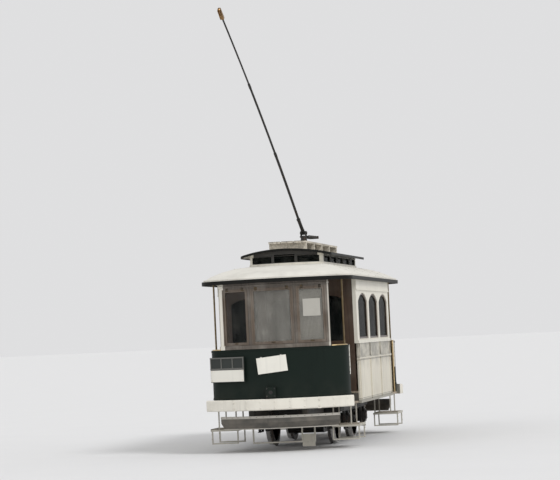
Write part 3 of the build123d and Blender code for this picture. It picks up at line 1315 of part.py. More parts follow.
def windscreen_corners():
    """Outer corners of the three-sided windscreen from left to right, as (x, y)."""
    front = -HALF_LENGTH + WINDSCREEN_SETBACK
    return [
        (-WINDSCREEN_HALF_WIDTH, WINDSCREEN_CORNER_Y),
        (-WINDSCREEN_CENTRE_HALF, front),
        (WINDSCREEN_CENTRE_HALF, front),
        (WINDSCREEN_HALF_WIDTH, WINDSCREEN_CORNER_Y),
    ]


def windscreen_panels():
    """Plane on each panel's outer face, its length and its (left, right) post widths."""
    corners = windscreen_corners()
    posts = [(CORNER_POST, MULLION_HALF), (MULLION_HALF, MULLION_HALF), (MULLION_HALF, CORNER_POST)]
    panels = []
    for start, end, post in zip(corners, corners[1:], posts):
        run = Vector(end[0] - start[0], end[1] - start[1], 0)
        plane = Plane(origin=(start[0], start[1], 0), x_dir=run, z_dir=run.cross(Vector(0, 0, 1)))
        panels.append((plane, run.length, post))
    return panels


def windscreen():
    """Front windscreen: posts from the floor, sill rail on the dash, head up to the cantrail."""
    corners = windscreen_corners()
    lean = math.atan2(corners[3][1] - corners[2][1], corners[3][0] - corners[2][0])
    wall = WINDSCREEN_WALL
    mitre = wall * math.tan(lean / 2)
    end_x = corners[3][0] - wall * math.sin(lean)
    end_y = corners[3][1] + wall * math.cos(lean)
    inner_x = corners[2][0] - mitre
    inner_y = corners[2][1] + wall
    inner = [(end_x, end_y), (inner_x, inner_y), (-inner_x, inner_y), (-end_x, end_y)]
    outline = corners + inner
    frame = along_z(make_face(Polyline(outline + outline[:1])), PLATFORM_FLOOR_Z, CANTRAIL_Z)
    for plane, length, (left, right) in windscreen_panels():
        middle = (left + length - right) / 2
        width = length - left - right
        for low, high in (
            (PLATFORM_FLOOR_Z - CUT, DASH_TOP_Z),
            (WINDSCREEN_SILL_Z, WINDSCREEN_HEAD_Z),
        ):
            hole = plane * (Pos(middle, (low + high) / 2) * Rectangle(width, high - low))
            frame -= extrude(hole, 2 * wall, both=True)
    rail = bow_profile(
        [
            (-WINDSCREEN_RAIL_LIP, DASH_TOP_Z),
            (-WINDSCREEN_RAIL_LIP, DASH_TOP_Z + WINDSCREEN_RAIL),
            (WINDSCREEN_RAIL_DEPTH, DASH_TOP_Z + WINDSCREEN_RAIL),
            (WINDSCREEN_RAIL_DEPTH, DASH_TOP_Z),
        ],
        math.degrees(math.asin(WINDSCREEN_HALF_WIDTH / DASH_BOW_RADIUS)),
    )
    return frame + rail


def windscreen_lights():
    """Sashes and panes of the front windscreen."""
    sashes = []
    panes = []
    for plane, length, (left, right) in windscreen_panels():
        middle = (left + length - right) / 2
        width = length - left - right
        height = WINDSCREEN_HEAD_Z - WINDSCREEN_SILL_Z
        centre_z = (WINDSCREEN_HEAD_Z + WINDSCREEN_SILL_Z) / 2

        def outline(inset, middle=middle, width=width):
            return Pos(middle, centre_z) * Rectangle(width - 2 * inset, height - 2 * inset)

        def through(face, low, high, plane=plane):
            return extrude(plane.offset(-high) * face, high - low)

        depth = (WINDSCREEN_WALL - SASH_THICKNESS) / 2
        sash, pane = glazed(outline, depth, depth + SASH_THICKNESS, through)
        sashes.append(sash)
        panes.append(pane)
    return sashes, panes


def bumper():
    """Front bumper beam, bowed round the platform."""
    edge = BUMPER_EDGE_RADIUS
    low = BUMPER_BOTTOM_Z
    high = low + BUMPER_HEIGHT
    half_angle = math.degrees(math.asin(BUMPER_HALF_WIDTH / (DASH_BOW_RADIUS + BUMPER_DEPTH)))
    profile = [
        (-RUNNING_GAP, low),
        (-BUMPER_DEPTH + edge, low),
        (-BUMPER_DEPTH, low + edge),
        (-BUMPER_DEPTH, high - edge),
        (-BUMPER_DEPTH + edge, high),
        (-RUNNING_GAP, high),
    ]
    return bow_profile(profile, half_angle)


def apron():
    """Front apron under the bumper, tucked back at its foot, with lugs to the bearers."""
    outer = APRON_SETBACK
    inner = outer + APRON_SHEET
    sheet = bow_profile(
        [
            (outer, APRON_TOP_Z),
            (outer, APRON_KNEE_Z),
            (outer + APRON_TUCK, APRON_FOOT_Z),
            (inner + APRON_TUCK, APRON_FOOT_Z + APRON_BEND),
            (inner, APRON_KNEE_Z + APRON_BEND),
            (inner, APRON_TOP_Z),
        ],
        APRON_HALF_ANGLE,
    )
    half = PLATFORM_BEARER_WIDTH / 2 - APRON_LUG_INSET
    lug_z = (APRON_TOP_Z - APRON_LUG_HEIGHT, APRON_TOP_Z)
    reach = DASH_BOW_RADIUS - outer - APRON_SHEET / 2
    lugs = []
    for x in (-PLATFORM_BEARER_X, PLATFORM_BEARER_X):
        near = BOW_CENTRE_Y - math.sqrt(reach**2 - (abs(x) + half) ** 2)
        lugs.append(block((x - half, x + half), (near, -PLATFORM_BEARER_OUTER_Y), lug_z))
    return sheet + lugs


def step():
    """Front right-hand step: tread, hangers and the loops below it."""
    tread_under = STEP_TREAD_Z - STEP_TREAD
    tread = block(
        (STEP_INNER_X, STEP_OUTER_X), (-STEP_FRONT_Y, -STEP_BACK_Y), (tread_under, STEP_TREAD_Z)
    )
    iron = STEP_IRON
    outer_hanger = DASH_HALF_WIDTH - 2 * iron
    pieces = []
    inner = STEP_INNER_X + STEP_LAP
    outer = STEP_OUTER_X - STEP_LAP
    for y in (-STEP_FRONT_Y + STEP_HANGER_INSET, -STEP_BACK_Y - STEP_HANGER_INSET - iron):
        span = (y, y + iron)
        for x in (STEP_INNER_X + iron, outer_hanger):
            pieces.append(block((x, x + iron), span, (STEP_TREAD_Z - STEP_LAP, PLATFORM_UNDER_Z)))
        loop = block((inner, outer), span, (STEP_LOOP_Z, tread_under + STEP_LAP))
        hole = block(
            (inner + iron, outer - iron),
            (y - CUT, y + iron + CUT),
            (STEP_LOOP_Z + iron, tread_under + STEP_LAP + CUT),
        )
        pieces.append(loop - hole)
    return tread + pieces


def gate():
    """Front lifeguard gate, hung under the platform from its pin."""
    half_bar = GATE_BAR / 2
    axis_y = -GATE_AXIS_Y
    pin = rod(
        (-GATE_HALF_WIDTH - half_bar, axis_y, GATE_AXIS_Z),
        (GATE_HALF_WIDTH + half_bar, axis_y, GATE_AXIS_Z),
        GATE_PIN_DIAMETER,
    )
    y = (axis_y - half_bar, axis_y + half_bar)
    bars = []
    for x in (-GATE_HALF_WIDTH, GATE_UPRIGHT_X, GATE_HALF_WIDTH):
        bars.append(block((x - half_bar, x + half_bar), y, (GATE_FOOT_Z, GATE_AXIS_Z)))
    foot = block(
        (-GATE_HALF_WIDTH - half_bar, GATE_HALF_WIDTH + half_bar),
        y,
        (GATE_FOOT_Z, GATE_FOOT_Z + GATE_BAR),
    )
    cheek = block(
        (GATE_UPRIGHT_X, GATE_HALF_WIDTH),
        (axis_y - GATE_CHEEK / 2, axis_y + GATE_CHEEK / 2),
        (GATE_FOOT_Z - GATE_CHEEK_DROP, GATE_FOOT_Z + GATE_CHEEK_RISE),
    )
    return pin + bars + foot + cheek


def controller():
    """Front controller: a tall case with a rounded face, its cap and its handle."""
    top = PLATFORM_FLOOR_Z + CONTROLLER_HEIGHT
    case_face = Rectangle(CONTROLLER_WIDTH, CONTROLLER_DEPTH)
    case_face = fillet(case_face.vertices(), CONTROLLER_CORNER)
    case = along_z(case_face, PLATFORM_FLOOR_Z, top)
    lip = CONTROLLER_CAP_LIP
    cap_face = Rectangle(CONTROLLER_WIDTH + 2 * lip, CONTROLLER_DEPTH + 2 * lip)
    cap_face = fillet(cap_face.vertices(), CONTROLLER_CORNER + lip)
    cap = along_z(cap_face, top, top + CONTROLLER_CAP)
    stem = rod((0, 0, top), (0, 0, top + CONTROLLER_STEM_HEIGHT), CONTROLLER_STEM_DIAMETER)
    handle_z = top + HANDLE_HEIGHT
    handle = rod((-HANDLE_TAIL, 0, handle_z), (HANDLE_REACH_X, HANDLE_REACH_Y, handle_z), HANDLE_DIAMETER)
    knob = rod((KNOB_X, KNOB_Y, top + KNOB_FOOT), (KNOB_X, KNOB_Y, top + KNOB_TOP), KNOB_DIAMETER)
    return Pos(CONTROLLER_X, -CONTROLLER_Y, 0) * (case + cap + stem + handle + knob)


def hand_brake():
    """Front hand brake: foot, staff and crank with its grip."""
    low = PLATFORM_FLOOR_Z
    top = low + BRAKE_STAFF_HEIGHT
    half = BRAKE_FOOT / 2
    foot_top = low + BRAKE_FOOT_HEIGHT
    foot = block((-half, half), (-half, half), (low, foot_top))
    staff = rod((0, 0, low), (0, 0, top), BRAKE_STAFF_DIAMETER)
    ratchet = rod((0, 0, foot_top), (0, 0, foot_top + RATCHET_HEIGHT), RATCHET_DIAMETER)
    crank_z = top - BRAKE_CRANK_DROP
    crank = rod((0, 0, crank_z), (0, BRAKE_CRANK, crank_z), BRAKE_CRANK_DIAMETER)
    grip_y = BRAKE_CRANK - BRAKE_CRANK_DROP
    grip_z = top - GRIP_DROP
    grip = rod((0, grip_y, grip_z), (0, grip_y, grip_z + GRIP_LENGTH), GRIP_DIAMETER)
    return Pos(BRAKE_STAFF_X, -BRAKE_STAFF_Y, 0) * (foot + staff + ratchet + crank + grip)


def stanchion():
    """Right-hand pole of the front doorway, from the floor to the cantrail."""
    return rod(
        (STANCHION_X, -STANCHION_Y, PLATFORM_FLOOR_Z),
        (STANCHION_X, -STANCHION_Y, CANTRAIL_Z),
        STANCHION_DIAMETER,
    )


def trolley_base():
    """Round foot on the roof walk with the fixed post of the trolley."""
    plate = rod((0, 0, ROOF_WALK_Z), (0, 0, ROOF_WALK_Z + TROLLEY_BASE_PLATE), TROLLEY_BASE_DIAMETER)
    post = rod((0, 0, ROOF_WALK_Z), (0, 0, TROLLEY_POST_TOP_Z), TROLLEY_POST_DIAMETER)
    return plate + post


def trolley_swivel():
    """Turning head: housing on the post, two cheeks with the pole's pin, spring yoke behind."""
    housing = rod(
        (0, 0, HOUSING_FOOT_Z), (0, 0, HEAD_TOP_Z), TROLLEY_POST_DIAMETER + 2 * TROLLEY_HOUSING_WALL
    )
    bore_diameter = TROLLEY_POST_DIAMETER + 2 * TROLLEY_FIT
    housing -= rod((0, 0, HOUSING_FOOT_Z - CUT), (0, 0, HEAD_FLOOR_Z), bore_diameter)
    inner = TROLLEY_FOOT_WIDTH / 2 + TROLLEY_CHEEK_GAP
    outer = inner + TROLLEY_CHEEK
    cheek_y = (-TROLLEY_CHEEK_LENGTH / 2, TROLLEY_CHEEK_LENGTH / 2)
    cheek_z = (HEAD_FLOOR_Z, TROLLEY_AXIS_Z + TROLLEY_CHEEK_RISE)
    cheeks = [block(x, cheek_y, cheek_z) for x in ((inner, outer), (-outer, -inner))]
    pin = rod((-outer, 0, TROLLEY_AXIS_Z), (outer, 0, TROLLEY_AXIS_Z), TROLLEY_PIN_DIAMETER)
    bridge_y = (-TROLLEY_BRIDGE_LENGTH / 2, TROLLEY_BRIDGE_LENGTH / 2)
    bridge = block((-outer, outer), bridge_y, (HEAD_FLOOR_Z, HEAD_TOP_Z))
    side = SPRING_SPACING / 2 + YOKE_REACH
    spring_high = SPRING_START + SPRING_LENGTH
    yoke_z = (HEAD_FLOOR_Z - YOKE_LAP, HEAD_TOP_Z)
    yoke = block((-side, side), (YOKE_START, SPRING_START), yoke_z)
    tail_z = (yoke_z[0] - YOKE_TAIL_EXTRA, yoke_z[1] + YOKE_TAIL_EXTRA)
    tail = block((-side, side), (spring_high, spring_high + YOKE_TAIL), tail_z)
    tie_y = (SPRING_START - YOKE_LAP, spring_high + YOKE_LAP)
    tie = block((-YOKE_TIE / 2, YOKE_TIE / 2), tie_y, yoke_z)
    return swung(housing + cheeks + pin + bridge + yoke + tail + tie)


def trolley_springs():
    """The two springs between the yoke and the tail bar of the head."""
    z = (HEAD_FLOOR_Z - YOKE_LAP + HEAD_TOP_Z) / 2
    side = SPRING_SPACING / 2
    return [
        swung(rod((x, SPRING_START, z), (x, SPRING_START + SPRING_LENGTH, z), SPRING_DIAMETER))
        for x in (-side, side)
    ]


def swung(shape):
    """Swing a shape of the turning head to its place at rest."""
    return Rot(0, 0, -TROLLEY_SWIVEL) * shape


def pole_place(shape):
    """Set a shape of the pole, drawn along -Y from its pin, to the pole's place at rest."""
    pin = Pos(0, 0, TROLLEY_AXIS_Z)
    return pin * Rot(0, 0, -TROLLEY_SWIVEL) * Rot(-TROLLEY_ELEVATION, 0, 0) * shape


def pole_shaft():
    """Tube of three thinning lengths with a slight bow, drawn along -Y."""
    bow = ThreePointArc((0, -POLE_START, 0), (0, -POLE_LENGTH / 2, POLE_BOW), (0, -POLE_LENGTH, 0))
    lengths = []
    for index in range(POLE_STEPS):
        stretch = bow.trim(index / POLE_STEPS, (index + 1) / POLE_STEPS)
        thinning = (POLE_TIP_DIAMETER - POLE_FOOT_DIAMETER) * index / (POLE_STEPS - 1)
        section = Plane(origin=stretch @ 0, z_dir=stretch % 0) * Circle((POLE_FOOT_DIAMETER + thinning) / 2)
        lengths.append(sweep(section, stretch))
    return lengths[0] + lengths[1:]


def trolley_pole():
    """Pole with its foot and the socket that clamps it."""
    half = TROLLEY_FOOT_WIDTH / 2
    foot = rod((-half, 0, 0), (half, 0, 0), POLE_PIVOT_DIAMETER)
    bore = rod((-half - CUT, 0, 0), (half + CUT, 0, 0), TROLLEY_PIN_DIAMETER + 2 * TROLLEY_FIT)
    socket = rod((0, -SOCKET_START, 0), (0, -SOCKET_END, 0), POLE_FOOT_DIAMETER + 2 * SOCKET_WALL)
    return pole_place(foot + socket + pole_shaft() - bore)


def trolley_harp():
    """Forked head clamped on the pole's tip, with the contact wheel's pin."""
    wheel_y = -POLE_LENGTH - HARP_LENGTH
    inner = CONTACT_WHEEL_WIDTH / 2 + HARP_CHEEK_GAP
    outer = inner + HARP_CHEEK
    base_y = (-POLE_LENGTH - HARP_BASE_LEAD, -POLE_LENGTH + HARP_BASE_LAP)
    base = block((-outer, outer), base_y, (-HARP_BASE_HEIGHT / 2, HARP_BASE_HEIGHT / 2))
    base -= pole_shaft()
    cheek_face = SlotCenterToCenter(HARP_CHEEK_RUN, HARP_CHEEK_HEIGHT)
    cheek_face = Pos(wheel_y + HARP_CHEEK_RUN / 2, 0) * cheek_face
    cheeks = [along_x(cheek_face, low, low + HARP_CHEEK) for low in (inner, -outer)]
    pin = rod((-outer, wheel_y, 0), (outer, wheel_y, 0), CONTACT_PIN_DIAMETER)
    return pole_place(base + cheeks + pin)


def contact_wheel():
    """Grooved wheel at the pole's tip."""
    half = CONTACT_WHEEL_WIDTH / 2
    rim = CONTACT_WHEEL_DIAMETER / 2
    bore = CONTACT_PIN_DIAMETER / 2 + TROLLEY_FIT
    shoulder = rim - WHEEL_RIM_BEVEL
    lip = half - WHEEL_RIM_WIDTH
    profile = Polyline(
        (-half, bore),
        (-half, shoulder),
        (-lip, rim),
        (0, rim - WHEEL_GROOVE),
        (lip, rim),
        (half, shoulder),
        (half, bore),
        (-half, bore),
    )
    solid = revolve(make_face(profile), Axis.X)
    return pole_place(Pos(0, -POLE_LENGTH - HARP_LENGTH, 0) * solid)


def build():
    """All sub-parts, as node name to list of solids."""
    side_sashes, side_panes = side_windows()
    wall, bulkhead_panes = bulkhead()
    door, door_pane = sliding_door()
    screen_sashes, screen_panes = windscreen_lights()
    clerestory_wall, clerestory_panes = clerestory()
    frame = truck_frame()
    boxes = [axle_box(y) for y in (-AXLE_Y, AXLE_Y)]
    rail = dash_rail()
    pole = stanchion()
    tread = step()
    return {
        "wheels_front": wheel_pair(-AXLE_Y),
        "axle_front": [axle(-AXLE_Y)],
        "wheels_rear": wheel_pair(AXLE_Y),
        "axle_rear": [axle(AXLE_Y)],
        "truck_frames": [frame, other_side(frame)],
        "truck_transoms": transoms(),
        "axle_boxes": boxes + [other_side(box) for box in boxes],
        "leaf_springs": leaf_springs(),
        "coil_springs": coil_springs(),
        "axle_box_pads": axle_box_pads(),
        "motors": both_ends(motor()),
        "brake_rigging": both_ends(brake_gear()),
        "side_sills": side_sills(),
        "cross_bearers": cross_bearers(),
        "platform_bearers": [bar for piece in platform_bearers() for bar in both_ends(piece)],
        "saloon_floor": [saloon_floor()],
        "platform_floors": both_ends(platform_floor()),
        "waist_panels": [waist_panel(), other_side(waist_panel())],
        "window_frames": [window_frame(), other_side(window_frame())],
        "letterboards": [letterboard(), other_side(letterboard())],
        "side_sashes": side_sashes,
        "side_glass": side_panes,
        "bulkheads": both_ends(wall),
        "bulkhead_glass": [pane for piece in bulkhead_panes for pane in both_ends(piece)],
        "door_front": [door],
        "door_glass_front": [door_pane],
        "door_rear": [turned(door)],
        "door_glass_rear": [turned(door_pane)],
        "benches": [bench(), other_side(bench())],
        "lower_roof": [lower_roof()],
        "clerestory_frame": [clerestory_wall],
        "clerestory_glass": clerestory_panes,
        "clerestory_roof": [clerestory_roof()],
        "roof_walk": [roof_walk()],
        "dashes": both_ends(dash()),
        "dash_rails": both_ends(rail) + both_ends(other_side(rail)),
        "windscreen_front": [windscreen()],
        "windscreen_rear": [turned(windscreen())],
        "windscreen_sashes": [sash for piece in screen_sashes for sash in both_ends(piece)],
        "windscreen_glass": [pane for piece in screen_panes for pane in both_ends(piece)],
        "bumpers": both_ends(bumper()),
        "aprons": both_ends(apron()),
        "steps": both_ends(tread) + both_ends(other_side(tread)),
        "stanchions": both_ends(pole) + both_ends(other_side(pole)),
        "controllers": both_ends(controller()),
        "hand_brakes": both_ends(hand_brake()),
        "lifeguard_gate_front": [gate()],
        "lifeguard_gate_rear": [turned(gate())],
        "trolley_base": [trolley_base()],
        "trolley_swivel": [trolley_swivel()],
        "trolley_springs": trolley_springs(),
        "trolley_pole": [trolley_pole()],
        "trolley_harp": [trolley_harp()],
        "trolley_wheel": [contact_wheel()],
    }


os.makedirs("parts", exist_ok=True)
for name, pieces in build().items():
    export_step(Compound(solids_of(*pieces), label=name), f"parts/{name}.step")
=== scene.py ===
"""Looks of a vintage tram: its finishes, its small parts, the studio and the camera.

Lengths are in metres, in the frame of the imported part: +Z up, the front end at -Y.
"""

from __future__ import annotations

import json
import logging
import math
from dataclasses import dataclass
from enum import Enum
from itertools import product
from typing import Callable, Iterable, Sequence, Union

import bmesh
import bpy
from mathutils import Matrix, Vector
from mathutils.bvhtree import BVHTree

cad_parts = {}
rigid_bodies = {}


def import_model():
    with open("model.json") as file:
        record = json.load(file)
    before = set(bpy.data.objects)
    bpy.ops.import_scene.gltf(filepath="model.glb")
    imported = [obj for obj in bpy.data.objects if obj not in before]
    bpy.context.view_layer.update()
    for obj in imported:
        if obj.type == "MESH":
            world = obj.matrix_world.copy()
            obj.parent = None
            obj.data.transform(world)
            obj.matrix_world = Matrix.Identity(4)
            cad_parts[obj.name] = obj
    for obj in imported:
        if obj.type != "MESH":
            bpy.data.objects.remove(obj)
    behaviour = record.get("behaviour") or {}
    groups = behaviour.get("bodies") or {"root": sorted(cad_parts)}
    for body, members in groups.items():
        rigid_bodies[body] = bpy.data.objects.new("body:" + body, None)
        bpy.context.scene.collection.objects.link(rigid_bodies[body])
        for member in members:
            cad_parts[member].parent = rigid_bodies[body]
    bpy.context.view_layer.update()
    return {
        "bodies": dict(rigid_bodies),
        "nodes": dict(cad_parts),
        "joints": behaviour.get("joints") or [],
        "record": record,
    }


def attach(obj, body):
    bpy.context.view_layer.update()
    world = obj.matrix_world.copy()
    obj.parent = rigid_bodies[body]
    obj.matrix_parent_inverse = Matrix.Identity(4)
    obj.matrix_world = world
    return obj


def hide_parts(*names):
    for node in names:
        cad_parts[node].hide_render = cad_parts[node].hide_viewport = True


LOG = logging.getLogger("tram")
Colour = tuple[float, float, float]
Point = Union[Vector, Sequence[float]]
Value = Union["Wire", float, int, Sequence[float]]


# Shader trees


class Wire:
    """One output socket; arithmetic on it adds Math nodes to its tree."""

    def __init__(self, tree: "Tree", socket: bpy.types.NodeSocket) -> None:
        self.tree = tree
        self.socket = socket

    def _maths(self, operation: str, first: Value, second: Value = 0.0) -> "Wire":
        """One Math node.

        Args:
            operation: the node's operation.
            first: the first value.
            second: the second value.

        Returns:
            The node's output.
        """
        node = self.tree.node("ShaderNodeMath", {"operation": operation}, {0: first, 1: second})
        return Wire(self.tree, node.outputs[0])

    def __add__(self, other: Value) -> "Wire":
        """Sum."""
        return self._maths("ADD", self, other)

    def __radd__(self, other: Value) -> "Wire":
        """Sum, reflected."""
        return self._maths("ADD", other, self)

    def __sub__(self, other: Value) -> "Wire":
        """Difference."""
        return self._maths("SUBTRACT", self, other)

    def __rsub__(self, other: Value) -> "Wire":
        """Difference, reflected."""
        return self._maths("SUBTRACT", other, self)

    def __mul__(self, other: Value) -> "Wire":
        """Product."""
        return self._maths("MULTIPLY", self, other)

    def __rmul__(self, other: Value) -> "Wire":
        """Product, reflected."""
        return self._maths("MULTIPLY", other, self)

    def __truediv__(self, other: Value) -> "Wire":
        """Quotient."""
        return self._maths("DIVIDE", self, other)

    def __rtruediv__(self, other: Value) -> "Wire":
        """Quotient, reflected."""
        return self._maths("DIVIDE", other, self)

    def __pow__(self, other: Value) -> "Wire":
        """Power."""
        return self._maths("POWER", self, other)

    def __rpow__(self, other: Value) -> "Wire":
        """Power, reflected."""
        return self._maths("POWER", other, self)

    def __neg__(self) -> "Wire":
        """Negative."""
        return self._maths("MULTIPLY", self, -1.0)

    def fraction(self) -> "Wire":
        """What is left after the whole number."""
        return self._maths("FRACT", self)

    def or_more(self, other: Value) -> "Wire":
        """The greater of the two."""
        return self._maths("MAXIMUM", self, other)

    def band(self, low: float, high: float) -> "Wire":
        """A smooth step over the value.

        Args:
            low: the value that gives 0.
            high: the value that gives 1.

        Returns:
            The stepped value, from 0 to 1.
        """
        node = self.tree.node(
            "ShaderNodeMapRange",
            {"interpolation_type": "SMOOTHSTEP"},
            {"Value": self, "From Min": low, "From Max": high},
        )
        return Wire(self.tree, node.outputs[0])

    def within(self, low: float, high: float, edge: float = 0.001) -> "Wire":
        """1 between two values and 0 beyond them, with a short step at each."""
        return self.band(low, low + edge) * (1.0 - self.band(high, high + edge))

    def magnitude(self) -> "Wire":
        """The value without its sign."""
        return self.or_more(-self)


class Tree:
    """The node tree of one material."""

    def __init__(self, material: bpy.types.Material) -> None:
        material.use_nodes = True
        self.nodes = material.node_tree.nodes
        self.links = material.node_tree.links
        self.nodes.clear()
        self.output = self.nodes.new("ShaderNodeOutputMaterial")
        self.place = Wire(self, self.node("ShaderNodeTexCoord").outputs["Object"])

    def node(
        self,
        kind: str,
        settings: dict[str, object] | None = None,
        inputs: dict[int | str, Value] | None = None,
    ) -> bpy.types.Node:
        """Make a node.

        Args:
            kind: its type name.
            settings: its properties, set before its sockets.
            inputs: socket index, identifier or name to a value or a wire.

        Returns:
            The node.
        """
        made = self.nodes.new(kind)
        for name, setting in (settings or {}).items():
            setattr(made, name, setting)
        for key, value in (inputs or {}).items():
            socket = self._socket(made, key)
            if isinstance(value, Wire):
                self.links.new(value.socket, socket)
            else:
                socket.default_value = value
        return made

    @staticmethod
    def _socket(node: bpy.types.Node, key: int | str) -> bpy.types.NodeSocket:
        """The input with that index, identifier or name."""
        if isinstance(key, int):
            return node.inputs[key]
        for socket in node.inputs:
            if socket.identifier == key:
                return socket
        return node.inputs[key]

    def scaled(self, stretch: Sequence[float]) -> Wire:
        """The place on the piece with each direction stretched."""
        node = self.node(
            "ShaderNodeVectorMath", {"operation": "MULTIPLY"}, {0: self.place, 1: tuple(stretch)}
        )
        return Wire(self, node.outputs[0])

    def noise(
        self, scale: float, stretch: Sequence[float] = (1, 1, 1), detail: float = 4.0, rough: float = 0.55
    ) -> Wire:
        """Noise over the piece.

        Args:
            scale: waves in a metre.
            stretch: how much faster it runs along X, Y and Z.
            detail: its octaves.
            rough: how strong the fine octaves are.

        Returns:
            A value from 0 to 1.
        """
        inputs = {"Vector": self.scaled(stretch), "Scale": scale, "Detail": detail, "Roughness": rough}
        return Wire(self, self.node("ShaderNodeTexNoise", {}, inputs).outputs[0])

    def patches(self) -> Wire:
        """The patchy noise that paint chips by."""
        return self.noise(24.0, detail=8.0, rough=0.72)

    def axis(self, index: int) -> Wire:
        """One coordinate of the place on the piece, in metres."""
        node = self.node("ShaderNodeSeparateXYZ", {}, {0: self.place})
        return Wire(self, node.outputs[index])

    def edges(self, radius: float) -> Wire:
        """A mask of the piece's sharp edges.

        Args:
            radius: how far in from the edge it reaches, in metres.

        Returns:
            1 on an edge and 0 on flat ground.
        """
        rounded = self.node("ShaderNodeBevel", {"samples": 4}, {"Radius": radius})
        flat = self.node("ShaderNodeNewGeometry")
        dot = self.node(
            "ShaderNodeVectorMath",
            {"operation": "DOT_PRODUCT"},
            {0: Wire(self, rounded.outputs[0]), 1: Wire(self, flat.outputs["Normal"])},
        )
        return (1.0 - Wire(self, dot.outputs["Value"])).band(0.01, 0.25)

    def mix(self, factor: Value, first: Value, second: Value) -> Wire:
        """Two colours mixed.

        Args:
            factor: the share of the second.
            first: a colour or a wire.
            second: a colour or a wire.

        Returns:
            The mixed colour.
        """
        inputs = {"Factor_Float": factor, "A_Color": self._ink(first), "B_Color": self._ink(second)}
        node = self.node("ShaderNodeMix", {"data_type": "RGBA"}, inputs)
        found = [socket for socket in node.outputs if socket.identifier == "Result_Color"]
        return Wire(self, found[0])

    @staticmethod
    def _ink(colour: Value) -> Value:
        """A colour with its alpha, or the wire as it is."""
        return colour if isinstance(colour, Wire) else (*tuple(colour), 1.0)

    def shade(self, height: Wire | None = None, depth: float = 0.001, **inputs: Value) -> None:
        """Finish the tree with its surface shader.

        Args:
            height: what the bump follows.
            depth: the bump's depth in metres.
            inputs: the shader's sockets, with _ for a blank in their names.
        """
        named = {key.replace("_", " "): value for key, value in inputs.items()}
        if height is not None:
            bump = self.node("ShaderNodeBump", {}, {"Distance": depth, "Height": height})
            named["Normal"] = Wire(self, bump.outputs[0])
        shader = self.node("ShaderNodeBsdfPrincipled", {}, named)
        self.links.new(shader.outputs[0], self.output.inputs["Surface"])


# Finishes


@dataclass(frozen=True)
class Finish:
    """A surface finish, with the name of a slot of the record."""

    name: str
    slot: str

    def material(self) -> bpy.types.Material:
        """The finish's material, made the first time."""
        label = "finish_" + self.name
        if label not in bpy.data.materials:
            self.build(Tree(bpy.data.materials.new(label)))
        return bpy.data.materials[label]

    def build(self, tree: Tree) -> None:
        """Grow the finish's nodes."""
        raise NotImplementedError


def tinted(colour: Colour, factor: float) -> Colour:
    """The colour made darker or lighter."""
    return tuple(min(1.0, part * factor) for part in colour)


@dataclass(frozen=True)
class Paint(Finish):
    """Old brushed paint: rain streaks, road dust low down, chips and rubbed edges."""

    colour: Colour
    under: Colour = (0.22, 0.17, 0.12)
    dust: Colour = (0.33, 0.29, 0.24)
    roughness: float = 0.42
    coat: float = 0.2
    streaks: float = 0.35
    chips: float = 0.6
    dusty: float = 0.5
    gloss: float = 0.45

    def build(self, tree: Tree) -> None:
        """Grow the finish's nodes."""
        broad = tree.noise(1.4, detail=3.0)
        fine = tree.noise(70.0, detail=5.0)
        run = tree.noise(11.0, (1.0, 1.0, 0.07), 6.0, 0.6).band(0.5, 0.78) * self.streaks
        low = (1.0 - tree.axis(2).band(0.15, 1.35)) * tree.noise(4.0, detail=6.0).band(0.3, 0.7)
        patch = tree.patches()
        chip = patch.band(0.69, 0.72) * self.chips
        rubbed = tree.edges(0.006) * patch.band(0.44, 0.6) * self.chips
        worn = chip.or_more(rubbed)
        ground = tree.mix(broad, tinted(self.colour, 0.84), tinted(self.colour, 1.12))
        ground = tree.mix(run, ground, tinted(self.colour, 0.55))
        ground = tree.mix(low * self.dusty, ground, self.dust)
        ground = self.second_colour(tree, ground)
        ground = tree.mix(worn, ground, self.under)
        tree.shade(
            fine * 0.3 + patch * 0.4 - worn * 0.6,
            0.0009,
            Specular_IOR_Level=self.gloss,
            Base_Color=ground,
            Roughness=self.roughness + fine * 0.12 + low * 0.3 + worn * 0.2,
            Coat_Weight=(1.0 - low) * self.coat,
            Coat_Roughness=0.18,
        )

    def second_colour(self, tree: Tree, ground: Wire) -> Wire:
        """The paint with what is picked out in a second colour."""
        return ground


@dataclass(frozen=True)
class LightPaint(Paint):
    """Clerestory paint, near-black round all the lights above their sill, save the four corner posts: painted
    shade.
    """

    mullion: Colour = (0.035, 0.033, 0.029)
    reach: float = 0.545
    ends: float = 1.7
    foot: float = 3.0815

    def second_colour(self, tree: Tree, ground: Wire) -> Wire:
        """The paint with painted shade round its lights."""
        across, along, z = (tree.axis(index) for index in range(3))
        corner = across.magnitude().band(self.reach - 0.002, self.reach)
        corner = corner * along.magnitude().band(self.ends, self.ends + 0.001)
        # painted shade: near-black over the clerestory above the lights' sill, except the end corner posts
        lights = (1.0 - corner) * z.band(self.foot, self.foot + 0.001)
        return tree.mix(lights, ground, self.mullion)


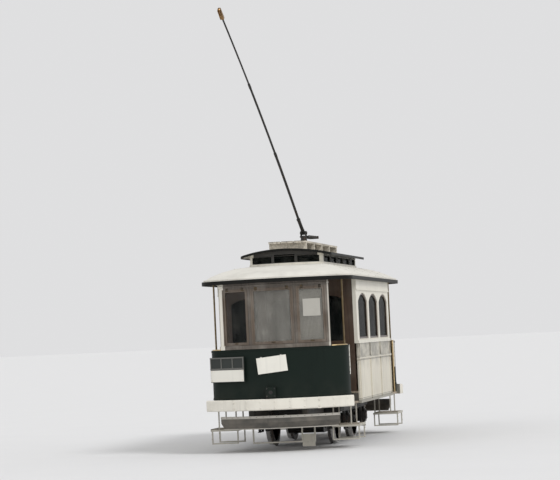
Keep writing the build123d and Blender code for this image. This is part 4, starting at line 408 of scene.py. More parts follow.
@dataclass(frozen=True)
class PanelPaint(Paint):
    """Side paint with a darker frieze under the belt rail and a darker foot."""

    frieze: Colour = (0.42, 0.395, 0.33)
    foot: Colour = (0.3, 0.285, 0.24)
    lining: Colour = (0.05, 0.045, 0.035)
    shadow: Colour = (0.2, 0.185, 0.155)
    frieze_z: float = 1.447
    foot_z: float = 0.756
    lines: tuple[tuple[float, float], ...] = ((0.768, 0.776), (1.404, 1.412))

    def second_colour(self, tree: Tree, ground: Wire) -> Wire:
        """The paint with its frieze, foot, shade under the frieze and thin linings."""
        z = tree.axis(2)
        faded = tree.noise(4.0, (1.0, 1.0, 1.6), 6.0, 0.6).band(0.38, 0.66)
        frieze = tree.mix(faded, tinted(self.frieze, 0.62), tinted(self.frieze, 1.15))
        ground = tree.mix(z.band(self.frieze_z, self.frieze_z + 0.002), ground, frieze)
        ground = tree.mix(1.0 - z.band(self.foot_z, self.foot_z + 0.002), ground, self.foot)
        low, high = (z.within(*line) for line in self.lines)
        shade = z.band(1.2, 1.43) * (1.0 - z.band(1.43, 1.432)) * tree.noise(3.5, detail=5.0).band(0.3, 0.7)
        ground = tree.mix(shade * 0.55, ground, self.shadow)
        return tree.mix(low.or_more(high) * 0.8, ground, self.lining)


@dataclass(frozen=True)
class Varnish(Finish):
    """Varnished timber with its grain along one axis, and with pale paint past posts, if given; on the
    right-hand posts that band is narrower and greyer, as painted shade.
    """

    colour: Colour
    grain: int = 2
    roughness: float = 0.4
    coat: float = 0.25
    grey: float = 0.3
    contrast: float = 0.3
    posts: float | None = None
    weathered: Colour = (0.3, 0.275, 0.24)
    pale: Colour = (0.7, 0.67, 0.59)

    def build(self, tree: Tree) -> None:
        """Grow the finish's nodes."""
        along = [58.0, 58.0, 58.0]
        along[self.grain] = 1.6
        lines = tree.noise(1.0, along, 6.0, 0.62)
        bold = tree.noise(0.35, along, 3.0)
        faded = tree.noise(3.0, detail=5.0).band(0.42, 0.72) * self.grey
        dark, light = tinted(self.colour, 1.0 - self.contrast), tinted(self.colour, 1.0 + self.contrast * 0.7)
        wood = tree.mix(lines.band(0.3, 0.7), dark, light)
        wood = tree.mix(bold.band(0.4, 0.75) * 0.4, wood, dark)
        wood = tree.mix(faded, wood, self.weathered)
        rubbed = tree.edges(0.005) * 0.4
        wood = tree.mix(rubbed, wood, tinted(self.colour, 1.6))
        if self.posts is not None:
            across = tree.axis(0)
            # lit marks the left-hand posts, which take the wide, full pale band; the right-hand posts get a
            # narrower band mixed only part way to pale: painted shade
            lit = (across * tree.axis(1)).band(0.0, 0.001)
            start = across.magnitude() + lit * 0.05
            painted = start.band(self.posts + 0.03, self.posts + 0.031)
            chipped = tree.patches().band(0.66, 0.7) * 0.6
            wood = tree.mix(painted * (0.55 + lit * 0.45) * (1.0 - chipped), wood, self.pale)
        tree.shade(
            lines,
            0.0005,
            Specular_IOR_Level=0.4,
            Base_Color=wood,
            Roughness=self.roughness + faded * 0.4 + lines * 0.12,
            Coat_Weight=(1.0 - faded) * self.coat,
            Coat_Roughness=0.15,
        )


@dataclass(frozen=True)
class Planks(Finish):
    """Bare boards, greyed and walked on, with a joint every board."""

    colour: Colour
    across: int = 0
    board: float = 0.11
    joint: float = 0.05

    def build(self, tree: Tree) -> None:
        """Grow the finish's nodes."""
        along = [26.0, 26.0, 26.0]
        along[1 - self.across] = 1.1
        lines = tree.noise(1.0, along, 7.0, 0.68)
        place = (tree.axis(self.across) / self.board + 500.0).fraction()
        gap = 1.0 - place.band(0.0, self.joint) * (1.0 - place.band(1.0 - self.joint, 1.0))
        soiled = tree.noise(2.2, detail=6.0).band(0.4, 0.75)
        wood = tree.mix(lines.band(0.3, 0.7), tinted(self.colour, 0.55), tinted(self.colour, 1.25))
        wood = tree.mix(soiled * 0.55, wood, tinted(self.colour, 0.4))
        wood = tree.mix(gap * 0.85, wood, (0.03, 0.027, 0.024))
        tree.shade(
            lines * 0.5 - gap * 1.6,
            0.0016,
            Base_Color=wood,
            Roughness=0.72 + lines * 0.2,
        )


@dataclass(frozen=True)
class Iron(Finish):
    """Black or bare iron with rust, grease and brake dust."""

    colour: Colour
    rust: float = 0.35
    grease: float = 0.3
    roughness: float = 0.55
    cast: float = 0.5
    bright: Colour = (0.2, 0.195, 0.185)
    gloss: float = 0.35

    def build(self, tree: Tree) -> None:
        """Grow the finish's nodes."""
        coarse = tree.noise(9.0, detail=8.0, rough=0.65)
        pits = tree.noise(120.0, detail=4.0)
        rusty = coarse.band(0.52, 0.72) * self.rust
        wet = (1.0 - tree.noise(5.0, detail=5.0).band(0.32, 0.5)) * self.grease
        rubbed = tree.edges(0.004) * coarse.band(0.35, 0.6) * 0.75
        skin = tree.mix(pits, tinted(self.colour, 0.75), tinted(self.colour, 1.25))
        skin = tree.mix(rusty, skin, (0.16, 0.075, 0.036))
        skin = tree.mix(wet, skin, (0.012, 0.011, 0.01))
        skin = tree.mix(rubbed, skin, self.bright)
        tree.shade(
            coarse * 0.5 + pits * self.cast,
            0.0011,
            Specular_IOR_Level=self.gloss,
            Base_Color=skin,
            Roughness=self.roughness + rusty * 0.3 - wet * 0.32 - rubbed * 0.15,
            Metallic=rubbed * 0.8,
        )


@dataclass(frozen=True)
class Worn(Finish):
    """Running steel, polished where it rolls or slides."""

    colour: Colour = (0.5, 0.49, 0.47)
    roughness: float = 0.32
    dull: float = 0.5

    def build(self, tree: Tree) -> None:
        """Grow the finish's nodes."""
        hair = tree.noise(1.0, (7.0, 240.0, 240.0), 4.0, 0.6)
        film = tree.noise(7.0, detail=6.0).band(0.4, 0.7) * self.dull
        skin = tree.mix(hair, tinted(self.colour, 0.8), tinted(self.colour, 1.15))
        skin = tree.mix(film, skin, (0.09, 0.065, 0.045))
        tree.shade(
            hair,
            0.0003,
            Base_Color=skin,
            Roughness=self.roughness + film * 0.35 + hair * 0.1,
            Metallic=1.0 - film * 0.7,
        )


@dataclass(frozen=True)
class Brass(Finish):
    """Handled brass or bronze with tarnish."""

    colour: Colour = (0.62, 0.43, 0.18)
    tarnish: float = 0.6

    def build(self, tree: Tree) -> None:
        """Grow the finish's nodes."""
        cloud = tree.noise(16.0, detail=6.0, rough=0.62).band(0.38, 0.7) * self.tarnish
        fine = tree.noise(150.0, detail=3.0)
        skin = tree.mix(cloud, self.colour, (0.14, 0.095, 0.045))
        tree.shade(
            fine,
            0.0002,
            Base_Color=skin,
            Roughness=0.24 + cloud * 0.4 + fine * 0.08,
            Metallic=1.0 - cloud * 0.35,
        )


@dataclass(frozen=True)
class Canvas(Finish):
    """Painted roof canvas: weave, soot, and tide marks."""

    colour: Colour
    soot: float = 0.4
    weave: float = 420.0

    def build(self, tree: Tree) -> None:
        """Grow the finish's nodes."""
        threads = tree.noise(1.0, (self.weave, self.weave, 60.0), 2.0)
        cloud = tree.noise(2.1, detail=7.0, rough=0.6)
        spots = tree.noise(17.0, detail=6.0, rough=0.7).band(0.58, 0.74)
        dirt = cloud.band(0.42, 0.74) * self.soot
        skin = tree.mix(cloud, tinted(self.colour, 0.86), tinted(self.colour, 1.08))
        skin = tree.mix(dirt, skin, (0.2, 0.185, 0.16))
        skin = tree.mix(spots * 0.35, skin, (0.24, 0.21, 0.17))
        tree.shade(
            threads * 0.35 + cloud * 1.5,
            0.0016,
            Base_Color=skin,
            Roughness=0.72 + dirt * 0.2 + threads * 0.06,
        )


@dataclass(frozen=True)
class Glazing(Finish):
    """Old window glass with a dust film, near-black and mostly opaque as painted shade of the dim inside;
    past a set place along X a lighter grey film is added as a painted reflection.
    """

    # tint and body make the glass near-black and mostly opaque: painted shade of the dim inside behind it
    tint: Colour = (0.006, 0.008, 0.0075)
    body: float = 0.72
    dusty: float = 0.07
    haze: float = 0.0
    index: float = 1.03
    haze_start: tuple[float, float] = (-0.39, -0.36)

    def build(self, tree: Tree) -> None:
        """Grow the finish's nodes."""
        film = tree.noise(6.0, (1.0, 1.0, 0.5), 7.0, 0.65).band(0.42, 0.8) * self.dusty
        # past the start along X the film grows lighter and thicker: a painted reflection, on top of the dust
        if self.haze:
            film = film + tree.axis(0).band(*self.haze_start) * self.haze
        tree.shade(
            tree.noise(2.4, detail=1.0),
            0.004,
            Base_Color=tree.mix(film * 1.6, self.tint, (0.4, 0.385, 0.345)),
            Roughness=0.05 + film * 0.5,
            Alpha=self.body + film * 0.9,
            IOR=self.index,
        )


@dataclass(frozen=True)
class Cloth(Finish):
    """Woven blind or paper, with its thread."""

    colour: Colour
    thread: float = 600.0
    stain: float = 0.25

    def build(self, tree: Tree) -> None:
        """Grow the finish's nodes."""
        threads = tree.noise(1.0, (self.thread, self.thread, self.thread * 0.2), 2.0)
        mark = tree.noise(7.0, detail=6.0).band(0.45, 0.8) * self.stain
        tree.shade(
            threads,
            0.0004,
            Base_Color=tree.mix(mark, self.colour, tinted(self.colour, 0.6)),
            Roughness=0.82 + threads * 0.12,
        )


class Look(Enum):
    """The tram's finishes."""

    DASH = Paint(
        "dash",
        "panel_green",
        (0.0065, 0.0125, 0.0095),
        under=(0.1, 0.09, 0.075),
        dust=(0.12, 0.11, 0.09),
        roughness=0.52,
        coat=0.03,
        streaks=0.4,
        chips=0.5,
        dusty=0.25,
        gloss=0.12,
    )
    PANEL = PanelPaint("panel", "cream_timber", (0.64, 0.6, 0.5), streaks=0.55, chips=0.4, coat=0.1)
    CREAM = Paint("cream", "cream_timber", (0.72, 0.69, 0.6), streaks=0.4, dusty=0.3, chips=0.35, coat=0.1)
    BUMPER = Paint("bumper", "cream_iron", (0.74, 0.71, 0.63), streaks=0.5, dusty=0.3, chips=0.8, coat=0.1)
    SILL = Paint("sill", "sill_timber", (0.075, 0.07, 0.062), dusty=0.35, coat=0.0, gloss=0.3)
    # near-black bearers: painted shade under the floor and platforms
    UNDER = Paint("under", "sill_timber", (0.03, 0.028, 0.025), dusty=0.25, coat=0.0, gloss=0.25)
    # the screen timber's dark colour is partly the wood's own and partly painted shade from the hood above it
    SCREEN = Varnish("screen", "screen_timber", (0.092, 0.075, 0.059), grey=0.42, posts=0.848)
    SASH = Varnish("sash", "varnished_timber", (0.115, 0.085, 0.06), grey=0.35)
    JOINERY = Varnish("joinery", "varnished_timber", (0.065, 0.038, 0.023), grey=0.12)
    BENCH = Varnish("bench", "varnished_timber", (0.2, 0.12, 0.065), grain=1, contrast=0.4)
    CLERESTORY = LightPaint(
        "clerestory", "clerestory_timber", (0.72, 0.69, 0.61), dusty=0.0, chips=0.3, coat=0.1
    )
    EDGE = Paint("edge", "clerestory_timber", (0.01, 0.01, 0.009), dusty=0.0, chips=0.35, coat=0.0, gloss=0.1)
    FLOOR = Planks("floor", "floor_timber", (0.3, 0.25, 0.19), board=0.12)
    WALK = Planks("walk", "walk_timber", (0.5, 0.46, 0.39), board=4.0, joint=0.001)
    ROOF = Canvas("roof", "roof_canvas", (0.7, 0.68, 0.62), soot=0.3)
    TRUCK = Iron("truck", "truck_iron", (0.018, 0.017, 0.016), rust=0.4)
    CAST = Iron("cast", "cast_truck", (0.028, 0.026, 0.024), rust=0.5, grease=0.55, cast=0.9)
    WHEEL = Iron("wheel", "wheel_iron", (0.035, 0.032, 0.029), rust=0.6, grease=0.45, cast=0.8)
    AXLE = Worn("axle", "axle_steel", (0.3, 0.29, 0.28), dull=0.9)
    TREAD = Worn("tread", "wheel_iron", (0.55, 0.54, 0.52), roughness=0.26, dull=0.2)
    SPRING = Iron("spring", "spring_steel", (0.04, 0.036, 0.032), rust=0.45, cast=0.2)
    APRON = Paint("apron", "apron_iron", (0.075, 0.072, 0.065), dusty=0.35, coat=0.0, gloss=0.25)
    # pale band and rolled lip of the aprons: painted highlight along their lit edges
    LIP = Paint("lip", "apron_iron", (0.42, 0.4, 0.36), dusty=0.3, coat=0.0)
    STEP = Paint(
        "step", "step_iron", (0.46, 0.44, 0.38), under=(0.05, 0.04, 0.032), dusty=0.2, coat=0.0, chips=0.9
    )
    TREADS = Planks("treads", "step_iron", (0.33, 0.29, 0.23), across=1, board=4.0, joint=0.001)
    CONTROL = Paint("control", "control_iron", (0.02, 0.02, 0.019), coat=0.3, dusty=0.15, gloss=0.35)
    BRASS = Brass("brass", "brass", (0.66, 0.5, 0.27), tarnish=0.45)
    PILLAR = Brass("pillar", "brass", (0.2, 0.155, 0.09), tarnish=0.85)
    HINGE = Brass("hinge", "brass", (0.045, 0.04, 0.034), tarnish=0.95)
    TROLLEY = Iron("trolley", "trolley_iron", (0.022, 0.021, 0.019), rust=0.3, grease=0.2)
    BRONZE = Brass("bronze", "trolley_bronze", (0.32, 0.19, 0.085), tarnish=0.8)
    # near-black, mostly opaque glass: painted shade of the saloon inside
    GLASS = Glazing("glass", "glass")
    # windscreen glass: clearer, with a lighter grey film on the centre and right panes as a painted
    # reflection
    SCREEN_GLASS = Glazing("screen_glass", "glass", body=0.2, dusty=0.15, haze=0.3, index=1.35)
    FIELD = Paint("field", "panel_green", (0.035, 0.04, 0.037), coat=0.0, gloss=0.2, dusty=0.0)
    RAIL = Paint("rail", "panel_green", (0.13, 0.13, 0.12), coat=0.0, gloss=0.2, dusty=0.0)
    BOARD = Paint("board", "cream_iron", (0.76, 0.74, 0.67), streaks=0.3, dusty=0.1, chips=0.3, coat=0.0)
    POSTER = Cloth("poster", "cream_iron", (0.4, 0.385, 0.345))
    BLIND = Cloth("blind", "varnished_timber", (0.78, 0.75, 0.66), thread=300.0)

    @property
    def finish(self) -> Finish:
        """The finish itself."""
        return self.value


# Shapes

UP = Vector((0, 0, 1))
BACK = Vector((0, 1, 0))
RIGHT = Vector((1, 0, 0))
SIDES = (-1, 1)
SINK = 0.001
TWIN = Matrix.Rotation(math.pi, 4, "Z")


def turns(count: int, start: float = 0.0) -> list[tuple[float, float]]:
    """Cosine and sine of evenly spaced angles round a circle, from start on."""
    angles = [2 * math.pi * i / count + start for i in range(count)]
    return [(math.cos(angle), math.sin(angle)) for angle in angles]


def placed(name: str, data: bpy.types.ID) -> bpy.types.Object:
    """A new object of the scene with the data given."""
    made = bpy.data.objects.new(name, data)
    bpy.context.scene.collection.objects.link(made)
    return made


@dataclass(frozen=True)
class Station:
    """A place on a plan line: its point, its outward normal and its distance along the line."""

    point: Vector
    normal: Vector
    run: float

    def at(self, out: float, z: float) -> Vector:
        """The point moved out and lifted to z."""
        return self.point + self.normal * out + UP * z

    @property
    def tangent(self) -> Vector:
        """Along the line, towards greater run."""
        return Vector((-self.normal.y, self.normal.x, 0))


@dataclass(frozen=True)
class BowPlan:
    """Plan of a bowed end: an arc over the front, round corners and straight sides."""

    front: float
    radius: float
    half_width: float
    corner: float

    @property
    def centre_y(self) -> float:
        """Y of the bow's centre."""
        return self.radius - self.front

    def _line(self, places: Iterable[tuple[float, float, float]]) -> list[Station]:
        """Stations from (x, y, angle of the normal from -Y) places."""
        line: list[Station] = []
        for x, y, angle in places:
            point = Vector((x, y, 0))
            run = line[-1].run + (point - line[-1].point).length if line else 0.0
            line.append(Station(point, Vector((math.sin(angle), -math.cos(angle), 0)), run))
        return line

    def arc(self, inset: float, half_angle: float, steps: int = 36) -> list[Station]:
        """The bow alone, run past the corners.

        Args:
            inset: how far inwards.
            half_angle: in degrees, to each side of the middle.
            steps: how many lengths.

        Returns:
            Stations from left to right.
        """
        reach = self.radius - inset
        angles = [math.radians(half_angle * (2 * i / steps - 1)) for i in range(steps + 1)]
        return self._line(
            (reach * math.sin(a), self.centre_y - reach * math.cos(a), a) for a in angles
        )

    def line(self, inset: float, tail: float, steps: int = 12) -> list[Station]:
        """The whole end.

        Args:
            inset: how far inwards.
            tail: the straight sides run back to this y.
            steps: lengths in each corner.

        Returns:
            Stations from the left tail round the front to the right tail.
        """
        reach = self.radius - inset
        half = self.half_width - inset
        corner = self.corner - inset
        corner_x = half - corner
        corner_y = self.centre_y - math.sqrt((reach - corner) ** 2 - corner_x**2)
        lean = math.atan2(corner_x, self.centre_y - corner_y)
        side = [(half, tail, math.pi / 2)]
        for i in range(steps + 1):
            angle = math.pi / 2 + (lean - math.pi / 2) * i / steps
            x = corner_x + corner * math.sin(angle)
            side.append((x, corner_y - corner * math.cos(angle), angle))
        bow = []
        for i in range(1, 2 * steps):
            angle = lean * (1 - i / steps)
            bow.append((reach * math.sin(angle), self.centre_y - reach * math.cos(angle), angle))
        left = [(-x, y, -angle) for x, y, angle in side]
        return self._line(left + bow[::-1] + side[::-1])


def spaced(line: Sequence[Station], pitch: float, margin: float = 0.0) -> list[Station]:
    """Evenly spaced stations on a line.

    Args:
        line: the stations to walk along.
        pitch: the distance wanted between two.
        margin: what is left free at each end.

    Returns:
        The new stations.
    """
    length = line[-1].run - 2 * margin
    count = max(1, round(length / pitch))
    found = []
    index = 0
    for i in range(count + 1):
        run = margin + length * i / count
        while index < len(line) - 2 and line[index + 1].run < run:
            index += 1
        here, there = line[index], line[index + 1]
        share = (run - here.run) / max(there.run - here.run, 1e-9)
        normal = here.normal.lerp(there.normal, share).normalized()
        found.append(Station(here.point.lerp(there.point, share), normal, run))
    return found


@dataclass(frozen=True)
class Arch:
    """An opening with a low arched head, in its own plane."""

    width: float
    sill: float
    crown: float
    rise: float

    def outline(self, inset: float, steps: int = 14) -> list[tuple[float, float]]:
        """Its outline as (across, z), moved inwards by inset."""
        half = self.width / 2
        radius = (half**2 + self.rise**2) / (2 * self.rise)
        centre = self.crown - radius
        reach = half - inset
        edge = math.asin(reach / (radius - inset))
        points = [(-reach, self.sill + inset), (reach, self.sill + inset)]
        for i in range(steps + 1):
            angle = edge * (1 - 2 * i / steps)
            points.append(
                ((radius - inset) * math.sin(angle), centre + (radius - inset) * math.cos(angle))
            )
        return points


class Shape:
    """Faces gathered for one piece."""

    def __init__(self) -> None:
        self.points: list[Vector] = []
        self.faces: list[tuple[int, ...]] = []

    def add(self, points: Iterable[Point], faces: Iterable[Sequence[int]]) -> "Shape":
        """Take in points and the faces between them."""
        base = len(self.points)
        self.points += [Vector(point) for point in points]
        self.faces += [tuple(base + index for index in face) for face in faces]
        return self

    def join(self, other: "Shape") -> "Shape":
        """Take in another shape."""
        return self.add(other.points, other.faces)

    def box(self, low: Point, high: Point) -> "Shape":
        """A box between two corners."""
        corners = product(*zip(low, high))
        faces = [(0, 1, 3, 2), (4, 6, 7, 5), (0, 4, 5, 1), (2, 3, 7, 6), (0, 2, 6, 4), (1, 5, 7, 3)]
        return self.add(corners, faces)

    def slab(self, back: Point, right: Vector, up: Vector, size: Sequence[float]) -> "Shape":
        """A turned box.

        Args:
            back: the middle of its back face.
            right: the direction of its width.
            up: the direction of its height.
            size: width, height and depth; it stands out along right cross up.

        Returns:
            The shape.
        """
        out = right.cross(up).normalized() * size[2]
        across = right.normalized() * size[0] / 2
        rise = up.normalized() * size[1] / 2
        base = Vector(back)
        ring = [base - across - rise, base + across - rise, base + across + rise, base - across + rise]
        return self.loft([ring, [point + out for point in ring]])

    def loft(self, rings: Sequence[Sequence[Point]], caps: bool = True) -> "Shape":
        """Faces between rings of equally many points.

        Args:
            rings: the rings in order.
            caps: whether the ends are closed.

        Returns:
            The shape.
        """
        count = len(rings[0])
        faces: list[tuple[int, ...]] = []
        for level in range(len(rings) - 1):
            low, high = level * count, (level + 1) * count
            for i in range(count):
                j = (i + 1) % count
                faces.append((low + i, low + j, high + j, high + i))
        if caps:
            faces.append(tuple(range(count)))
            faces.append(tuple((len(rings) - 1) * count + i for i in range(count)))
        return self.add([point for ring in rings for point in ring], faces)

    def tube(self, path: Sequence[Point], radius: float, sides: int = 8) -> "Shape":
        """A round bar along a path.

        Args:
            path: its points.
            radius: its radius.
            sides: how many faces round.

        Returns:
            The shape.
        """
        line = [Vector(point) for point in path]
        side = (line[1] - line[0]).normalized().orthogonal().normalized()
        rings = []
        last = len(line) - 1
        for i, point in enumerate(line):
            ahead = (line[min(i + 1, last)] - line[max(i - 1, 0)]).normalized()
            side = (side - ahead * side.dot(ahead)).normalized()
            up = ahead.cross(side)
            rings.append([point + (side * c + up * s) * radius for c, s in turns(sides)])
        return self.loft(rings)

    def lathe(
        self, foot: Point, axis: Point, profile: Sequence[tuple[float, float]], sides: int = 12
    ) -> "Shape":
        """A turned piece.

        Args:
            foot: where its axis starts.
            axis: the axis's direction.
            profile: (distance along the axis, radius) pairs.
            sides: how many faces round.

        Returns:
            The shape.
        """
        base, ahead = Vector(foot), Vector(axis).normalized()
        side = ahead.orthogonal().normalized()
        up = ahead.cross(side)
        spokes = [side * c + up * s for c, s in turns(sides)]
        return self.loft(
            [[base + ahead * far + spoke * reach for spoke in spokes] for far, reach in profile]
        )

    def rivet(self, foot: Point, axis: Point, radius: float) -> "Shape":
        """A domed head."""
        profile = [(-radius * 0.2, radius), (radius * 0.2, radius * 0.95), (radius * 0.45, radius * 0.7)]
        return self.lathe(foot, axis, profile + [(radius * 0.6, radius * 0.3)], 8)

    def bolt(self, foot: Point, axis: Point, radius: float) -> "Shape":
        """A hexagonal head on a washer."""
        tall = radius * 0.9
        self.lathe(foot, axis, [(-SINK, radius * 1.35), (radius * 0.18, radius * 1.35)], 14)
        head = [(radius * 0.18, radius), (tall * 0.8, radius), (tall, radius * 0.86)]
        return self.lathe(foot, axis, head, 6)

    def sweep(self, line: Sequence[Station], profile: Sequence[tuple[float, float]]) -> "Shape":
        """A moulding of (out, z) points along a plan line."""
        return self.loft([[place.at(out, z) for out, z in profile] for place in line])

    def frame(
        self, arch: Arch, width: float, place: Callable[[float, float, float], Vector], depth: float
    ) -> "Shape":
        """A bead round an arched opening.

        Args:
            arch: the opening.
            width: how far the bead reaches inwards.
            place: turns (across, z, out) into a point.
            depth: how far it stands out.

        Returns:
            The shape.
        """
        outer, inner = arch.outline(0.0), arch.outline(width)
        rings = [
            [place(*a, 0.0), place(*a, depth * 0.6), place(*b, depth), place(*b, 0.0)]
            for a, b in zip(outer, inner)
        ]
        return self.loft(rings + rings[:1], caps=False)

    def moved(self, matrix: Matrix) -> "Shape":
        """A copy moved by a matrix."""
        return Shape().add([matrix @ point for point in self.points], self.faces)

    def both_sides(self) -> "Shape":
        """This shape with its mirror image across the middle plane."""
        return self.join(self.moved(Matrix.Scale(-1, 4, RIGHT)))

    def both_ends(self) -> "Shape":
        """This shape with its twin at the other end."""
        return self.join(self.moved(TWIN))

    def piece(
        self, name: str, look: Look, body: str = "car", bevel: float = 0.0, smooth: float = 0.0
    ) -> bpy.types.Object:
        """Make the object.

        Args:
            name: its name.
            look: its finish.
            body: the body it moves with.
            bevel: width of its rounded edges, if any.
            smooth: edges flatter than this many degrees are smoothed.

        Returns:
            The object.
        """
        mesh = bpy.data.meshes.new(name)
        mesh.from_pydata(self.points, [], self.faces)
        work = bmesh.new()
        work.from_mesh(mesh)
        bmesh.ops.recalc_face_normals(work, faces=work.faces)
        work.to_mesh(mesh)
        work.free()
        mesh.materials.append(look.finish.material())
        if smooth:
            mesh.shade_smooth()
            mesh.set_sharp_from_angle(angle=math.radians(smooth))
        made = placed(name, mesh)
        if bevel:
            rounding = made.modifiers.new("rounding", "BEVEL")
            rounding.width = bevel
            rounding.segments = 2
            rounding.limit_method = "ANGLE"
        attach(made, body)
        LOG.info("%s: %d faces", name, len(self.faces))
        return made

    def twin_pieces(self, name: str, look: Look, body: str, smooth: float) -> None:
        """Make this shape as the front end's piece, and its twin as the rear end's.

        Args:
            name: their names, with {} for front or rear.
            look: their finish.
            body: the bodies that they move with, with {} in the same way.
            smooth: edges flatter than this many degrees are smoothed.
        """
        for end, shape in (("front", self), ("rear", self.moved(TWIN))):
            shape.piece(name.format(end), look, body.format(end), smooth=smooth)


DASH_PLAN = BowPlan(3.3, 1.84, 1.13, 0.35)
EAVE_PLAN = BowPlan(3.36, 1.9, 1.245, 0.42)
CLERESTORY_PLAN = BowPlan(1.98, 1.15, 0.62, 0.06)
CLERESTORY_EAVE = BowPlan(2.13, 1.3, 0.77, 0.21)


# The carried-over nodes

NODE_LOOKS: dict[Look, tuple[str, ...]] = {
    Look.WHEEL: ("wheels_front", "wheels_rear"),
    Look.AXLE: ("axle_front", "axle_rear"),
    Look.TRUCK: ("truck_frames", "truck_transoms", "brake_rigging", "axle_box_pads"),
    Look.CAST: ("axle_boxes", "motors"),
    Look.SPRING: ("leaf_springs",),
    Look.SILL: ("side_sills",),
    Look.UNDER: ("cross_bearers", "platform_bearers"),
    Look.FLOOR: ("saloon_floor", "platform_floors"),
    Look.DASH: ("dashes",),
    Look.PANEL: ("waist_panels",),
    Look.CREAM: ("window_frames", "letterboards"),
    Look.BUMPER: ("bumpers",),
    Look.JOINERY: ("side_sashes", "bulkheads", "door_front", "door_rear"),
    Look.SASH: ("windscreen_sashes",),
    Look.BENCH: ("benches",),
    Look.SCREEN: ("windscreen_front", "windscreen_rear"),
    Look.GLASS: (
        "side_glass",
        "bulkhead_glass",
        "door_glass_front",
        "door_glass_rear",
        "clerestory_glass",
    ),
    Look.SCREEN_GLASS: ("windscreen_glass",),
    Look.ROOF: ("lower_roof", "clerestory_roof"),
    Look.CLERESTORY: ("clerestory_frame",),
    Look.WALK: ("roof_walk",),
    Look.BRASS: ("dash_rails",),
    Look.PILLAR: ("stanchions",),
    Look.APRON: ("aprons",),
    Look.STEP: ("steps", "lifeguard_gate_front", "lifeguard_gate_rear"),
    Look.CONTROL: ("controllers", "hand_brakes"),
    Look.TROLLEY: ("trolley_base", "trolley_swivel", "trolley_pole"),
    Look.BRONZE: ("trolley_harp", "trolley_wheel"),
}


@dataclass
class CarriedNodes:
    """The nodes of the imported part, each with its finish."""

    nodes: dict[str, bpy.types.Object]

    def dress(self) -> None:
        """Give every node its material."""
        for look, names in NODE_LOOKS.items():
            for name in names:
                materials = self.nodes[name].data.materials
                materials.clear()
                materials.append(look.finish.material())
        LOG.info("carried nodes dressed")

    def surface(self, name: str) -> BVHTree:
        """A node's faces, to be looked up by rays."""
        mesh = self.nodes[name].data
        return BVHTree.FromPolygons([v.co for v in mesh.vertices], [p.vertices for p in mesh.polygons])


# Sub-assemblies


def signed(*values: float) -> list[float]:
    """Each value with both signs."""
    return [side * value for value in values for side in SIDES]


def strip(low: float, high: float, out: float) -> list[tuple[float, float]]:
    """The (out, z) profile of a flat strip with eased outer edges, sunk a little into its ground."""
    return [(-SINK, low), (out, low + 0.002), (out, high - 0.002), (-SINK, high)]


def oblong(inner: float, outer: float, low: float, high: float) -> list[tuple[float, float]]:
    """The (out, z) profile of a square-edged strip."""
    return [(inner, low), (outer, low), (outer, high), (inner, high)]


class Assembly:
    """Pieces that are made together."""

    def build(self) -> None:
        """Make the pieces."""
        raise NotImplementedError


